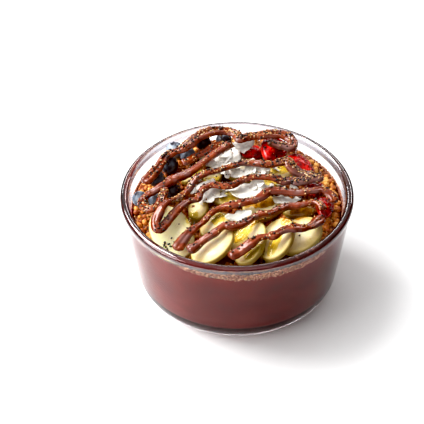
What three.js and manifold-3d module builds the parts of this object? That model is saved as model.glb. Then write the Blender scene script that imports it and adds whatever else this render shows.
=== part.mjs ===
// An acai bowl: a round glass bowl filled with thick fruit puree, and on it granola, banana,
// berries, coconut flakes and a chocolate drizzle with chia seeds.
// Millimetres, +Z up, origin at the centre of the bowl's underside.
import * as THREE from 'three';
import { mergeVertices } from 'three/addons/utils/BufferGeometryUtils.js';
import Module from 'manifold-3d';

const manifold = await Module();
manifold.setup();

// ---------------------------------------------------------------- driving dimensions

const GAP = 0.3; // clearance between solids that touch
const TURN_STEPS = 56; // sides of every round lathe shape of the bowl's own size

const bowl = {
  radius: 76, // over the lip
  height: 76,
  draft: THREE.MathUtils.degToRad(8.1), // lean of the wall
  base: 10.5, // thickness under the puree
  foot: 49.1, // radius of the flat underside
  corner: 18.4, // outer radius between underside and wall
  innerCorner: 14,
  lip: 2.7, // radius of the round lip
  lipNeck: 0.8, // the outer wall ends this far below the lip
};
const food = {
  pureeLevel: 59,
  granolaRim: 63.5, // mean height of the granola at the glass
  granolaTop: 68.5, // height of the granola in the middle
  granolaSlope: 0.045, // it lies higher at the back, +Y, than at the front
  granolaInset: 1.6, // its core stays this far from the glass, and its lumps fill the rest
};

// ---------------------------------------------------------------- small helpers

function seededRandom(seed) {
  let state = seed;
  return function next() {
    state = (state + 0x6d2b79f5) | 0;
    let mixed = Math.imul(state ^ (state >>> 15), 1 | state);
    mixed = (mixed + Math.imul(mixed ^ (mixed >>> 7), 61 | mixed)) ^ mixed;
    return ((mixed ^ (mixed >>> 14)) >>> 0) / 4294967296;
  };
}

const random = seededRandom(7);

function between(low, high) {
  return low + (high - low) * random();
}

function arc(cx, cy, radius, fromDegrees, toDegrees, steps) {
  return Array.from({ length: steps + 1 }, (_, i) => {
    const angle = THREE.MathUtils.degToRad(fromDegrees + ((toDegrees - fromDegrees) * i) / steps);
    return new THREE.Vector2(cx + radius * Math.cos(angle), cy + radius * Math.sin(angle));
  });
}

// A lathe about +Z from [radius, height] points that start and end on the axis.
function lathe(points, steps) {
  const geometry = new THREE.LatheGeometry(points, steps);
  return geometry.rotateX(Math.PI / 2);
}

function positionsOnly(geometry) {
  const bare = geometry.clone();
  bare.deleteAttribute('normal');
  bare.deleteAttribute('uv');
  return mergeVertices(bare, 1e-4);
}

function toSolid(geometry) {
  const bare = positionsOnly(geometry);
  const corners = bare.index.array;
  const place = bare.attributes.position.array;
  const kept = [];
  for (let i = 0; i < corners.length; i += 3) {
    const [a, b, c] = [corners[i], corners[i + 1], corners[i + 2]];
    if (a !== b && b !== c && c !== a) kept.push(a, b, c);
  }
  const mesh = new manifold.Mesh({
    numProp: 3,
    vertProperties: new Float32Array(place),
    triVerts: new Uint32Array(kept),
  });
  return new manifold.Manifold(mesh);
}

function toGeometry(solid) {
  const mesh = solid.getMesh();
  const geometry = new THREE.BufferGeometry();
  geometry.setAttribute('position', new THREE.BufferAttribute(mesh.vertProperties, 3));
  geometry.setIndex(new THREE.BufferAttribute(mesh.triVerts, 1));
  geometry.computeVertexNormals();
  return geometry;
}

function fuse(geometries) {
  const solids = geometries.map(toSolid);
  return toGeometry(solids.reduce((whole, piece) => whole.add(piece)));
}

// ---------------------------------------------------------------- the heap's height

// The height of everything laid so far, on a square grid, so that each new piece can be
// laid on top of it with a clearance all round.
const heap = {
  cell: 0.5,
  half: 80,
  get side() {
    return Math.round((2 * this.half) / this.cell) + 1;
  },
  column(x) {
    return Math.round((x + this.half) / this.cell);
  },
  row(y) {
    return Math.round((y + this.half) / this.cell);
  },
};
heap.top = new Float32Array(heap.side * heap.side).fill(-1e6);

// Calls visit(column, row, height) for every grid point under each triangle.
function scan(geometry, visit) {
  const faces = geometry.index ? geometry.toNonIndexed() : geometry;
  const place = faces.attributes.position;
  const [a, b, c] = [new THREE.Vector3(), new THREE.Vector3(), new THREE.Vector3()];
  for (let i = 0; i < place.count; i += 3) {
    a.fromBufferAttribute(place, i);
    b.fromBufferAttribute(place, i + 1);
    c.fromBufferAttribute(place, i + 2);
    const area = (b.x - a.x) * (c.y - a.y) - (c.x - a.x) * (b.y - a.y);
    if (Math.abs(area) < 1e-6) continue;
    const columns = [a.x, b.x, c.x].map((x) => heap.column(x));
    const rows = [a.y, b.y, c.y].map((y) => heap.row(y));
    for (let row = Math.min(...rows); row <= Math.max(...rows); row += 1) {
      for (let column = Math.min(...columns); column <= Math.max(...columns); column += 1) {
        const x = column * heap.cell - heap.half;
        const y = row * heap.cell - heap.half;
        const u = ((b.x - x) * (c.y - y) - (c.x - x) * (b.y - y)) / area;
        const v = ((c.x - x) * (a.y - y) - (a.x - x) * (c.y - y)) / area;
        const w = 1 - u - v;
        if (u >= -1e-3 && v >= -1e-3 && w >= -1e-3) visit(column, row, u * a.z + v * b.z + w * c.z);
      }
    }
  }
}

function pileUp(geometry) {
  scan(geometry, (column, row, height) => {
    for (let i = -1; i <= 1; i += 1) {
      for (let j = -1; j <= 1; j += 1) {
        const at = (row + j) * heap.side + column + i;
        heap.top[at] = Math.max(heap.top[at], height);
      }
    }
  });
}

// How far a piece has to rise, or sink if negative, to lie just clear of the heap.
function liftToClear(geometry) {
  let lift = -Infinity;
  scan(geometry, (column, row, height) => {
    lift = Math.max(lift, heap.top[row * heap.side + column] - height);
  });
  return lift + GAP;
}

// ---------------------------------------------------------------- bowl, puree, granola

const leanTan = Math.tan(bowl.draft);
const leanDegrees = THREE.MathUtils.radToDeg(bowl.draft);
const lipCentre = { radius: bowl.radius - bowl.lip, height: bowl.height - bowl.lip };
const innerLipRadius = lipCentre.radius - bowl.lip;

function innerRadius(height) {
  return innerLipRadius - (lipCentre.height - height) * leanTan;
}

// The rounded corner that joins a floor to the leaning inner wall, set in by an inset.
function innerCornerArc(floor, inset, steps) {
  const radius = bowl.innerCorner - inset;
  const centreHeight = floor + radius;
  const wallRadius = innerRadius(centreHeight) - inset / Math.cos(bowl.draft);
  const centreRadius = wallRadius - radius / Math.cos(bowl.draft);
  return arc(centreRadius, centreHeight, radius, -90, -leanDegrees, steps);
}

function glassBowl() {
  const wallTop = bowl.height - 2 * bowl.lip - bowl.lipNeck;
  const outerCorner = arc(bowl.foot, bowl.corner, bowl.corner, -90, -leanDegrees, 4);
  const wallStart = outerCorner[outerCorner.length - 1];
  const wallEnd = new THREE.Vector2(wallStart.x + (wallTop - wallStart.y) * leanTan, wallTop);
  const lip = arc(lipCentre.radius, lipCentre.height, bowl.lip, -15, 180, 7);
  const inner = innerCornerArc(bowl.base, 0, 3).reverse();
  const middle = [new THREE.Vector2(0, 0)];
  const floor = [new THREE.Vector2(0, bowl.base)];
  return lathe([...middle, ...outerCorner, wallEnd, ...lip, ...inner, ...floor], TURN_STEPS);
}

function pureeFill() {
  const corner = innerCornerArc(bowl.base + GAP, GAP, 3);
  const edge = new THREE.Vector2(innerRadius(food.pureeLevel) - GAP, food.pureeLevel);
  const under = new THREE.Vector2(0, bowl.base + GAP);
  const top = new THREE.Vector2(0, food.pureeLevel);
  return lathe([under, ...corner, edge, top], TURN_STEPS);
}

const granolaRadius = innerRadius(food.granolaRim) - food.granolaInset;

// Height of the granola's domed core at a point.
function domeHeight(x, y) {
  const share = Math.min(Math.hypot(x, y) / granolaRadius, 1);
  const dome = food.granolaTop - (food.granolaTop - food.granolaRim) * share * share;
  return dome + food.granolaSlope * y;
}

function granolaPiece(size, x, y, height) {
  const piece = new THREE.IcosahedronGeometry(size, 0);
  piece.scale(between(0.85, 1.25), between(0.75, 1.1), between(0.6, 0.9));
  piece.rotateX(between(-0.6, 0.6));
  piece.rotateZ(between(0, Math.PI));
  return piece.translate(x, y, height);
}

// A lathe whose rings take the dome's height, with a lumpy edge where the glass shows it.
function granolaCore() {
  const under = food.pureeLevel + GAP;
  const foot = innerRadius(under) - food.granolaInset;
  const rings = [1, 0.86, 0.7, 0.52, 0.3, 0].map((share) => {
    return new THREE.Vector2(share * granolaRadius, food.granolaTop);
  });
  const base = [new THREE.Vector2(0, under), new THREE.Vector2(foot, under)];
  const core = positionsOnly(lathe([...base, ...rings], 48));
  const place = core.attributes.position;
  for (let i = 0; i < place.count; i += 1) {
    if (place.getZ(i) < food.granolaTop - 0.1) continue;
    const [x, y] = [place.getX(i), place.getY(i)];
    const atEdge = Math.hypot(x, y) > 0.95 * granolaRadius;
    const lump = atEdge ? between(-1, food.granolaInset - 2 * GAP) : 0;
    const scale = atEdge ? 1 + lump / granolaRadius : 1;
    place.setXYZ(i, x * scale, y * scale, domeHeight(x, y) + lump);
  }
  return core;
}

function granola() {
  const pieces = [granolaCore()];
  // Clusters where the fruit leaves the granola open, at the right and the left.
  const openStretches = [
    { from: -58, to: -26, inner: 62, sizes: [1.7, 2.4], count: 7 },
    { from: -16, to: 16, inner: 60, sizes: [2, 3], count: 9 },
    { from: 16, to: 56, inner: 63.5, sizes: [1.8, 2.4], count: 7 },
    { from: 184, to: 204, inner: 56, sizes: [2.2, 3.2], count: 6 },
  ];
  for (const { from, to, inner, sizes, count } of openStretches) {
    for (let i = 0; i < count; i += 1) {
      const angle = THREE.MathUtils.degToRad(from + ((to - from) * (i + random())) / count);
      const size = between(...sizes);
      const radius = between(inner, granolaRadius - size);
      const [x, y] = [radius * Math.cos(angle), radius * Math.sin(angle)];
      pieces.push(granolaPiece(size, x, y, domeHeight(x, y) + 0.3 * size));
    }
  }
  return fuse(pieces);
}

// ---------------------------------------------------------------- fruit and flakes

function bevelled(shape, depth, bevel, curveSegments, bevelSegments) {
  const geometry = new THREE.ExtrudeGeometry(shape, {
    depth: depth - 2 * bevel,
    bevelThickness: bevel,
    bevelSize: bevel,
    bevelOffset: -bevel,
    bevelSegments,
    curveSegments,
  });
  return geometry.translate(0, 0, bevel - depth / 2);
}

function chiaSeed(x, y, z, turn) {
  const seed = new THREE.OctahedronGeometry(1, 0).scale(1.25, 0.85, 0.75);
  return seed.rotateZ(turn).translate(x, y, z);
}

const slice = { thickness: 5.2, edge: 1.2 };

// A bias-cut slice: an oval with soft edges, and any seeds that lie on it at [x, y].
function bananaSlice([halfLength, halfWidth], seeds = []) {
  const outline = new THREE.Shape();
  outline.absellipse(0, 0, halfLength, halfWidth, 0, 2 * Math.PI);
  const bare = bevelled(outline, slice.thickness, slice.edge, 8, 1);
  const top = slice.thickness / 2;
  return fuse([bare, ...seeds.map(([x, y], i) => chiaSeed(x, y, top + 0.2, i))]);
}

// A lengthwise slice of strawberry: round shoulders at -X, the tip at +X.
function strawberrySlice(length, width, depth) {
  const [back, tip, half] = [-0.42 * length, 0.58 * length, width / 2];
  const outline = new THREE.Shape();
  outline.moveTo(back, 0);
  outline.bezierCurveTo(back - 0.05 * length, half, back + 0.25 * length, 1.15 * half, 0.1 * length, half);
  outline.quadraticCurveTo(0.45 * length, 0.6 * half, tip, 0);
  outline.quadraticCurveTo(0.45 * length, -0.6 * half, 0.1 * length, -half);
  outline.bezierCurveTo(back + 0.25 * length, -1.15 * half, back - 0.05 * length, -half, back, 0);
  return bevelled(outline, depth, 0.32 * depth, 3, 2);
}

// A berry a little wider than tall, with the small crown dent on top.
function blueberry(radius) {
  const flat = 0.88;
  const side = arc(0, 0, radius, -90, 62, 6).map((p) => new THREE.Vector2(Math.max(p.x, 0), p.y * flat));
  side[0].x = 0;
  const dent = [new THREE.Vector2(0.22 * radius, 0.66 * radius), new THREE.Vector2(0, 0.66 * radius)];
  return lathe([...side, ...dent], 10);
}

// A curled, slightly ruffled chip, both faces split into triangles alike.
function coconutFlake(length, width, curl, twist) {
  const [along, across, thickness] = [8, 3, 1.1];
  const place = [];
  for (const face of [-0.5, 0.5]) {
    for (let i = 0; i <= along; i += 1) {
      for (let j = 0; j <= across; j += 1) {
        const u = (2 * i) / along - 1;
        const v = (2 * j) / across - 1;
        const halfWidth = (width / 2) * Math.sqrt(1.12 - 0.9 * u * u);
        const rise = curl * u * u + twist * u * v + 0.06 * width * v * v * Math.cos(3 * u);
        place.push((length / 2) * u, halfWidth * v, rise + face * thickness);
      }
    }
  }
  const row = across + 1;
  const sheet = (along + 1) * row;
  const corners = [];
  const quad = (a, b, c, d) => corners.push(a, b, c, a, c, d);
  for (let i = 0; i < along; i += 1) {
    for (let j = 0; j < across; j += 1) {
      const a = i * row + j;
      corners.push(a, a + row + 1, a + row, a, a + 1, a + row + 1);
      corners.push(sheet + a, sheet + a + row, sheet + a + row + 1);
      corners.push(sheet + a, sheet + a + row + 1, sheet + a + 1);
    }
    const [left, right] = [i * row, i * row + across];
    quad(left, left + row, sheet + left + row, sheet + left);
    quad(right + row, right, sheet + right, sheet + right + row);
  }
  for (let j = 0; j < across; j += 1) {
    const far = along * row + j;
    quad(j + 1, j, sheet + j, sheet + j + 1);
    quad(far, far + 1, sheet + far + 1, sheet + far);
  }
  const geometry = new THREE.BufferGeometry();
  geometry.setAttribute('position', new THREE.Float32BufferAttribute(place, 3));
  geometry.setIndex(corners);
  geometry.computeVertexNormals();
  return geometry;
}

// ---------------------------------------------------------------- chocolate drizzle

const chocolate = { width: 5.2, height: 4.2, step: 5, sides: 6, seedEvery: 15 };

// The highest point of the heap within a reach of [x, y].
function heapUnder(x, y, reach) {
  const cells = Math.ceil(reach / heap.cell);
  let highest = food.pureeLevel;
  for (let i = -cells; i <= cells; i += 1) {
    for (let j = -cells; j <= cells; j += 1) {
      if (Math.hypot(i, j) * heap.cell > reach) continue;
      highest = Math.max(highest, heap.top[(heap.row(y) + j) * heap.side + heap.column(x) + i]);
    }
  }
  return highest;
}

// Points along a route in plan, each at the height where the strand lies clear of the heap and
// bridges the dips between the pieces.
function drape(route) {
  const plan = new THREE.CatmullRomCurve3(route.map(([x, y]) => new THREE.Vector3(x, y, 0)));
  const steps = Math.ceil(plan.getLength() / chocolate.step);
  const fine = 4;
  const reach = chocolate.width / 2 + 0.6;
  const below = plan.getSpacedPoints(steps * fine).map((p) => heapUnder(p.x, p.y, reach));
  const points = plan.getSpacedPoints(steps);
  const need = points.map((_, i) => {
    const near = below.slice(Math.max((i - 1) * fine + 2, 0), (i + 1) * fine - 1);
    return Math.max(...near) + GAP + chocolate.height / 2;
  });
  let heights = need;
  for (let pass = 0; pass < 6; pass += 1) {
    heights = heights.map((height, i) => {
      const before = heights[Math.max(i - 1, 0)];
      const after = heights[Math.min(i + 1, heights.length - 1)];
      return Math.max(need[i], (before + after) / 2 - 0.15);
    });
  }
  points.forEach((p, i) => p.setZ(heights[i]));
  return points;
}

// An oval tube along draped points, its ends rounded off.
function strand(points) {
  const last = points.length - 1;
  const place = [];
  const corners = [];
  points.forEach((p, i) => {
    const ahead = points[Math.min(i + 1, last)];
    const behind = points[Math.max(i - 1, 0)];
    const side = new THREE.Vector3(behind.y - ahead.y, ahead.x - behind.x, 0).normalize();
    const nearEnd = Math.min(i, last - i);
    const full = (nearEnd === 0 ? 0.62 : 1) * (1 + 0.08 * Math.sin(1.9 * i));
    for (let k = 0; k < chocolate.sides; k += 1) {
      const angle = (2 * Math.PI * k) / chocolate.sides;
      const across = (full * chocolate.width * Math.cos(angle)) / 2;
      const rise = (Math.min(full, 1) * chocolate.height * Math.sin(angle)) / 2;
      place.push(p.x + side.x * across, p.y + side.y * across, p.z + rise);
    }
  });
  const ring = (i, k) => i * chocolate.sides + (k % chocolate.sides);
  for (let i = 0; i < last; i += 1) {
    for (let k = 0; k < chocolate.sides; k += 1) {
      corners.push(ring(i, k), ring(i, k + 1), ring(i + 1, k + 1));
      corners.push(ring(i, k), ring(i + 1, k + 1), ring(i + 1, k));
    }
  }
  for (let k = 1; k < chocolate.sides - 1; k += 1) {
    corners.push(ring(0, 0), ring(0, k + 1), ring(0, k));
    corners.push(ring(last, 0), ring(last, k), ring(last, k + 1));
  }
  const geometry = new THREE.BufferGeometry();
  geometry.setAttribute('position', new THREE.Float32BufferAttribute(place, 3));
  geometry.setIndex(corners);
  return geometry;
}

// Seeds stand on a strand's upper side, swinging from one flank to the other.
function seedsOn(points) {
  const every = Math.round(chocolate.seedEvery / chocolate.step);
  const carriers = points.filter((_, i) => i % every === 1 && i < points.length - 2);
  return carriers.map((p, i) => {
    const swing = 0.9 * Math.sin(2.4 * i);
    return chiaSeed(p.x + swing, p.y - swing / 2, p.z + 0.4 * chocolate.height, 2.4 * i);
  });
}

// ---------------------------------------------------------------- assembly

const finish = {
  glass: { color: 0xdfeae8, roughness: 0.03, metalness: 0, transparent: true, opacity: 0.35 },
  puree: { color: 0x6f4043, roughness: 0.55, metalness: 0 },
  granola: { color: 0xb0722f, roughness: 0.8, metalness: 0 },
  banana: { color: 0xf2e6bf, roughness: 0.45, metalness: 0 },
  strawberry: { color: 0xb3151c, roughness: 0.3, metalness: 0 },
  blueberry: { color: 0x3d4f6e, roughness: 0.5, metalness: 0 },
  coconut: { color: 0xf1f2ee, roughness: 0.6, metalness: 0 },
  chocolate: { color: 0x5a2a1b, roughness: 0.25, metalness: 0 },
};
for (const name of Object.keys(finish)) finish[name] = new THREE.MeshStandardMaterial(finish[name]);

const acaiBowl = new THREE.Group();

const rocking = [-9, -6, -3, 0, 3, 6, 9];

function addNode(name, geometry, material) {
  const mesh = new THREE.Mesh(geometry, material);
  mesh.name = name;
  acaiBowl.add(mesh);
  return mesh;
}

function worldGeometry(mesh) {
  mesh.updateMatrixWorld(true);
  return mesh.geometry.clone().applyMatrix4(mesh.matrixWorld);
}

// Lays a piece on the heap at [x, y]. turn points its +X end round from the row's +X, rise
// lifts that end and tilt lifts the side on its right, all in degrees. The piece then rocks by
// up to a few degrees, and stays where it lies lowest.
function lay(name, geometry, material, { at, turn = 0, rise = 0, tilt = 0 }) {
  const mesh = addNode(name, geometry, material);
  const attitude = (rock, roll) => {
    const [z, y, x] = [turn, -rise - rock, -tilt - roll].map(THREE.MathUtils.degToRad);
    mesh.rotation.set(x, y, z, 'ZYX');
    mesh.position.set(at[0], at[1], 0);
    mesh.position.z = liftToClear(worldGeometry(mesh));
    return { rock, roll, height: mesh.position.z };
  };
  const tries = rocking.flatMap((rock) => rocking.map((roll) => attitude(rock, roll)));
  const lowest = tries.reduce((best, next) => (next.height < best.height ? next : best));
  attitude(lowest.rock, lowest.roll);
  pileUp(worldGeometry(mesh));
}

addNode('glass_bowl', glassBowl(), finish.glass);
addNode('acai_base', pureeFill(), finish.puree);
pileUp(addNode('granola', granola(), finish.granola).geometry);

// Small slices that lie between the berries.
const innerSlices = [
  { at: [29, 23], size: [9, 7.5], turn: 15, rise: -6, tilt: 12 },
  { at: [-30, 21], size: [9.5, 6.5], turn: 60, rise: 4, tilt: -10 },
  { at: [-16, 41], size: [11, 7.5], turn: 35, rise: 0, tilt: 0 },
  { at: [4, 23], size: [13, 9], turn: 170, rise: 0, tilt: 4 },
  { at: [-6, 1], size: [13, 9.5], turn: 25, rise: 0, tilt: 4 },
  { at: [-25, -12.5], size: [10, 6.5], turn: 80, rise: 0, tilt: 0 },
  { at: [40, -13], size: [11, 6], turn: 8, rise: 0, tilt: 0 },
  { at: [-16, 20], size: [9.5, 6.5], turn: 75, rise: 0, tilt: 0 },
  { at: [20.5, 8.5], size: [11.5, 6.2], turn: 8, rise: 0, tilt: 0 },
];
innerSlices.forEach((place, i) => {
  lay(`banana_slice_${i + 1}`, bananaSlice(place.size), finish.banana, place);
});

const blueberries = [
  { at: [-42, 48], radius: 6.1, turn: 40, tilt: 20 },
  { at: [-33, 41], radius: 5.4, turn: 90, tilt: 35 },
  { at: [-45, 31], radius: 6.1, turn: 160, tilt: 30 },
  { at: [-53, 18], radius: 5.6, turn: 200, tilt: 25 },
  { at: [-42, 4], radius: 5.9, turn: 250, tilt: 40 },
  { at: [-53, -2], radius: 4.8, turn: 20, tilt: 15 },
  { at: [-63.5, 0], radius: 5.2, turn: 70, tilt: 30 },
  { at: [-9, 58], radius: 5.6, turn: 120, tilt: 20 },
  { at: [-23, 49], radius: 5.8, turn: 310, tilt: 45 },
];
blueberries.forEach((berry, i) => {
  lay(`blueberry_${i + 1}`, blueberry(berry.radius), finish.blueberry, berry);
});

const strawberries = [
  { at: [11, 47], size: [15, 13, 6], turn: 200, rise: -6, tilt: -8 },
  { at: [25, 45], size: [25, 18, 7.5], turn: 250, rise: -8, tilt: 6 },
  { at: [42, 29], size: [23, 16, 6.5], turn: 318, rise: -6, tilt: 6 },
  { at: [51, 12], size: [15, 12, 5.5], turn: 150, rise: -4, tilt: -4 },
  { at: [57, -10], size: [21, 12, 6], turn: 262, rise: 2, tilt: 24 },
  { at: [50, 1], size: [11, 9, 4.5], turn: 170, rise: -3, tilt: 6 },
];
strawberries.forEach((berry, i) => {
  lay(`strawberry_${i + 1}`, strawberrySlice(...berry.size), finish.strawberry, berry);
});

// The slices lean on each other like fallen dominoes, the left one over the right one.
const frontSlices = [
  { at: [16, -12], size: [14, 11], turn: 30, rise: 2, tilt: 4 },
  { at: [40, -37], size: [19, 13], turn: 60, rise: 9, tilt: 14 },
  { at: [25, -45], size: [18.5, 12], turn: 76, rise: 11, tilt: 18 },
  { at: [8, -47], size: [19, 12], turn: 82, rise: 12, tilt: 18 },
  { at: [-13, -29], size: [13, 10], turn: 62, rise: 8, tilt: 12 },
  { at: [-15, -52], size: [16.5, 11.5], turn: 40, rise: 10, tilt: 15 },
  {
    at: [-41.3, -36.2],
    size: [20.8, 13.5],
    turn: 115,
    rise: 10,
    tilt: 4,
    seeds: [[-14, 3], [-11.5, 6.5], [-9, 2.5], [-6, 6], [-12.5, -1]],
  },
];
frontSlices.forEach((place, i) => {
  const name = `banana_slice_${innerSlices.length + i + 1}`;
  lay(name, bananaSlice(place.size, place.seeds), finish.banana, place);
});

const flakes = [
  { at: [-10, 32], size: [27, 15], curl: 3, twist: 1.5, turn: 28 },
  { at: [4, 44], size: [17, 11], curl: 2.5, twist: -1.5, turn: 50 },
  { at: [5, 20], size: [34, 11], curl: 2, twist: 1, turn: 4 },
  { at: [-27, 9], size: [11, 7], curl: 1.5, twist: 1, turn: 35 },
  { at: [-18, -2], size: [22, 12], curl: 3, twist: 2, turn: 70 },
  { at: [7, 0], size: [24, 14], curl: 2.5, twist: 1.5, turn: 18 },
  { at: [32, -6], size: [19, 8], curl: 2, twist: -1, turn: 8 },
  { at: [38, 7], size: [13, 8], curl: 1.5, twist: 1, turn: 100 },
  { at: [1, -25], size: [18, 11], curl: 2.5, twist: 1, turn: 12 },
];
flakes.forEach((flake, i) => {
  const chip = coconutFlake(...flake.size, flake.curl, flake.twist);
  lay(`coconut_flake_${i + 1}`, chip, finish.coconut, flake);
});

// The chocolate drizzle, poured from the back to the front. Each strand is a route in plan.
const drizzle = [
  [
    [-61, 6], [-57, 11], [-53, 18], [-50, 25], [-47, 31], [-42, 34], [-36, 37], [-31, 41],
    [-26, 45], [-19, 50], [-12, 53], [-6, 53], [0, 49], [2, 43], [6, 46], [12, 48], [18, 49],
    [26, 50], [33, 49], [37, 43], [36, 37], [31, 38], [26, 39], [20, 41],
  ],
  [
    [-37, 27], [-33, 29], [-28, 34], [-22, 37], [-17, 40],
  ],
  [
    [-4, 37], [-8, 35], [-16, 29], [-23, 21], [-29, 16], [-35, 11], [-42, 6], [-47, 1],
    [-57, -5], [-61, -10], [-59, -21], [-55, -26], [-50, -22], [-48, -13], [-46, -3],
  ],
  [
    [51, 13], [47, 14], [41, 15], [36, 18], [33, 23], [28, 22], [21, 21], [10, 24], [4, 24],
    [0, 22], [-8, 17], [-14, 12], [-21, 9], [-27, 7], [-31, 1], [-36, -7], [-42, -19], [-49, -30],
    [-52, -38], [-49, -43], [-44, -35], [-36, -23], [-31, -17], [-25, -13], [-24, -7], [-20, -1],
    [-15, 1], [-8, -1], [-3, 0], [3, 5], [10, 7], [18, 7], [26, 6], [31, 5], [35, 7], [41, 6],
    [46, 7], [52, 8], [56, 10],
  ],
  [
    [-38, -55], [-34, -47], [-28, -39], [-22, -32], [-17, -23], [-11, -18], [-6, -17], [2, -16],
    [10, -13], [16, -9], [20, -5], [28, -4], [35, -5], [40, -6], [48, -5], [56, -4], [61, -8],
    [63, -14],
  ],
  [
    [54, -22], [54, -18], [51, -14], [46, -14], [39, -15], [32, -16], [26, -21], [20, -27],
    [15, -29], [10, -33], [3, -41], [-3, -43], [-8, -43], [-14, -48], [-21, -52], [-27, -57],
    [-31, -59],
  ],
  [
    [-5, -65], [1, -61], [6, -58], [15, -52], [22, -51], [29, -46], [36, -44], [41, -43],
    [47, -37], [53, -29], [56, -28],
  ],
];
drizzle.forEach((route, i) => {
  const points = drape(route);
  const geometry = fuse([strand(points), ...seedsOn(points)]);
  pileUp(addNode(`drizzle_${i + 1}`, geometry, finish.chocolate).geometry);
});

export default acaiBowl;
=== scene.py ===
"""The looks of an acai bowl: glass, puree, granola, fruit, coconut, honey and chocolate.

Lengths are millimetres until a mesh is made, which turns them into Blender's metres. The CAD
model gives every solid its place. A piece made here stands for one of its nodes, or lies on them.
"""
import math

import bmesh
import bpy
import numpy as np
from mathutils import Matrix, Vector, noise
from mathutils.bvhtree import BVHTree


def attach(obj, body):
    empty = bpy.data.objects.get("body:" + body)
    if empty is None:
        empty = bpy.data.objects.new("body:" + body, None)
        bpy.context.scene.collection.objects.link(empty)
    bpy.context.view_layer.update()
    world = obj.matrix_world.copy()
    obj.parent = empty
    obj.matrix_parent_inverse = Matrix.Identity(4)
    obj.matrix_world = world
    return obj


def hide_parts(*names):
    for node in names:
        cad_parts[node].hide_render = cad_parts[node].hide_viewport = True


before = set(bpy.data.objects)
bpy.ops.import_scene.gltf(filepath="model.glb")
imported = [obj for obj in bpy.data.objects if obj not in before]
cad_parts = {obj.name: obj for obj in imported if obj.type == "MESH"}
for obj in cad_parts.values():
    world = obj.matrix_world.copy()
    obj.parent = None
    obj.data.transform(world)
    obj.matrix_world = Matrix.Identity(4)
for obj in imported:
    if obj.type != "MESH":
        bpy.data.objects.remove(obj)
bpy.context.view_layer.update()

MM = 0.001
scene = bpy.context.scene
rng = np.random.default_rng(5)

# ---------------------------------------------------------------- sizes

RADIUS = 76  # of the bowl over its lip
HEIGHT = 76
DRAFT = math.radians(8.1)  # lean of the wall
BASE = 10.5  # glass under the puree
FOOT = 49.1  # radius of the flat underside
CORNER = 18.4  # outer radius between underside and wall
INNER_CORNER = 14
LIP = 2.7  # radius of the round lip
LIP_NECK = 0.8  # the wall ends this far below the lip
INTO_WALL = 0.15  # what fills the glass reaches this far into it

PUREE_LEVEL = 59
# The puree's edge on the glass, by direction in degrees: +X is 0 and the front is -90. It
# is smeared up the glass at the sides.
PUREE_EDGE = [
    (-180, 63.6), (-172, 64), (-160, 66.4), (-120, 66.4), (-112, 65.2), (-105, 64), (-90, 63.3),
    (-65, 63.5), (-50, 64.6), (-40, 66), (-15, 66.2), (0, 64), (90, 63), (180, 63.6),
]
# How high crumbs cling to the glass, in the same way.
CRUMB_EDGE = [
    (-180, 63), (-124, 63), (-115, 68), (-60, 68.8), (-46, 68), (-38, 64), (0, 65), (90, 66),
    (180, 63),
]
GRANOLA_RIM = 63.5
GRANOLA_TOP = 68.5
GRANOLA_SLOPE = 0.045  # higher at the back than at the front

STRAND_WIDTH = 6.0
STRAND_HEIGHT = 4.3
STRAND_RISE = 1.75  # from the underside of a strand's solid to its middle line

BERRY_SQUAT = 0.88  # how tall a berry is for its width
BERRY_SOLID = 1.657  # height of a berry's solid, crown and all, in radii

# The routes of the seven chocolate strands, in plan. Their points were picked on the
# photograph, and a program turned them into millimetres.
STRANDS = [
    [
        (-61, 6), (-57, 11), (-53, 18), (-50, 25), (-47, 31), (-42, 34), (-36, 37), (-31, 41),
        (-26, 45), (-19, 50), (-12, 53), (-6, 53), (0, 49), (2, 43), (6, 46), (12, 48), (18, 49),
        (26, 50), (33, 49), (37, 43), (36, 37), (31, 38), (26, 39), (20, 41),
    ],
    [
        (-37, 27), (-33, 29), (-28, 34), (-22, 37), (-17, 41), (-12, 44), (-8, 46),
    ],
    [
        (-4, 37), (-8, 35), (-16, 29), (-23, 21), (-29, 16), (-35, 11), (-42, 6), (-47, 1),
        (-57, -5), (-61, -10), (-59, -21), (-55, -26), (-50, -22), (-48, -13), (-46, -3),
    ],
    [
        (51, 13), (47, 14), (41, 15), (36, 18), (33, 23), (28, 22), (21, 21), (10, 24), (4, 24),
        (0, 22), (-8, 17), (-14, 12), (-21, 9), (-27, 7), (-31, 1), (-36, -7), (-41, -19),
        (-48, -30), (-51, -38), (-49, -43), (-44, -35), (-36, -23), (-31, -17), (-25, -13),
        (-24, -7), (-20, -1), (-15, 1), (-8, -1), (-3, 0), (3, 5), (10, 7), (18, 7), (26, 6),
        (31, 5), (35, 7), (41, 6), (46, 7), (52, 8), (56, 10),
    ],
    [
        (-38, -55), (-34, -47), (-28, -39), (-22, -32), (-17, -23), (-11, -18), (-6, -17),
        (2, -16), (10, -13), (16, -9), (20, -5), (28, -4), (35, -5), (40, -6), (48, -5), (56, -4),
        (61, -8), (63, -14),
    ],
    [
        (54, -22), (54, -18), (51, -14), (46, -14), (39, -15), (32, -16), (26, -21), (20, -27),
        (15, -29), (10, -33), (3, -41), (-3, -43), (-8, -43), (-14, -48), (-21, -52), (-27, -57),
        (-31, -59),
    ],
    [
        (-5, -65), (1, -61), (6, -58), (15, -52), (22, -51), (29, -46), (36, -44), (41, -43),
        (47, -37), (53, -29), (56, -28),
    ],
]

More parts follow.
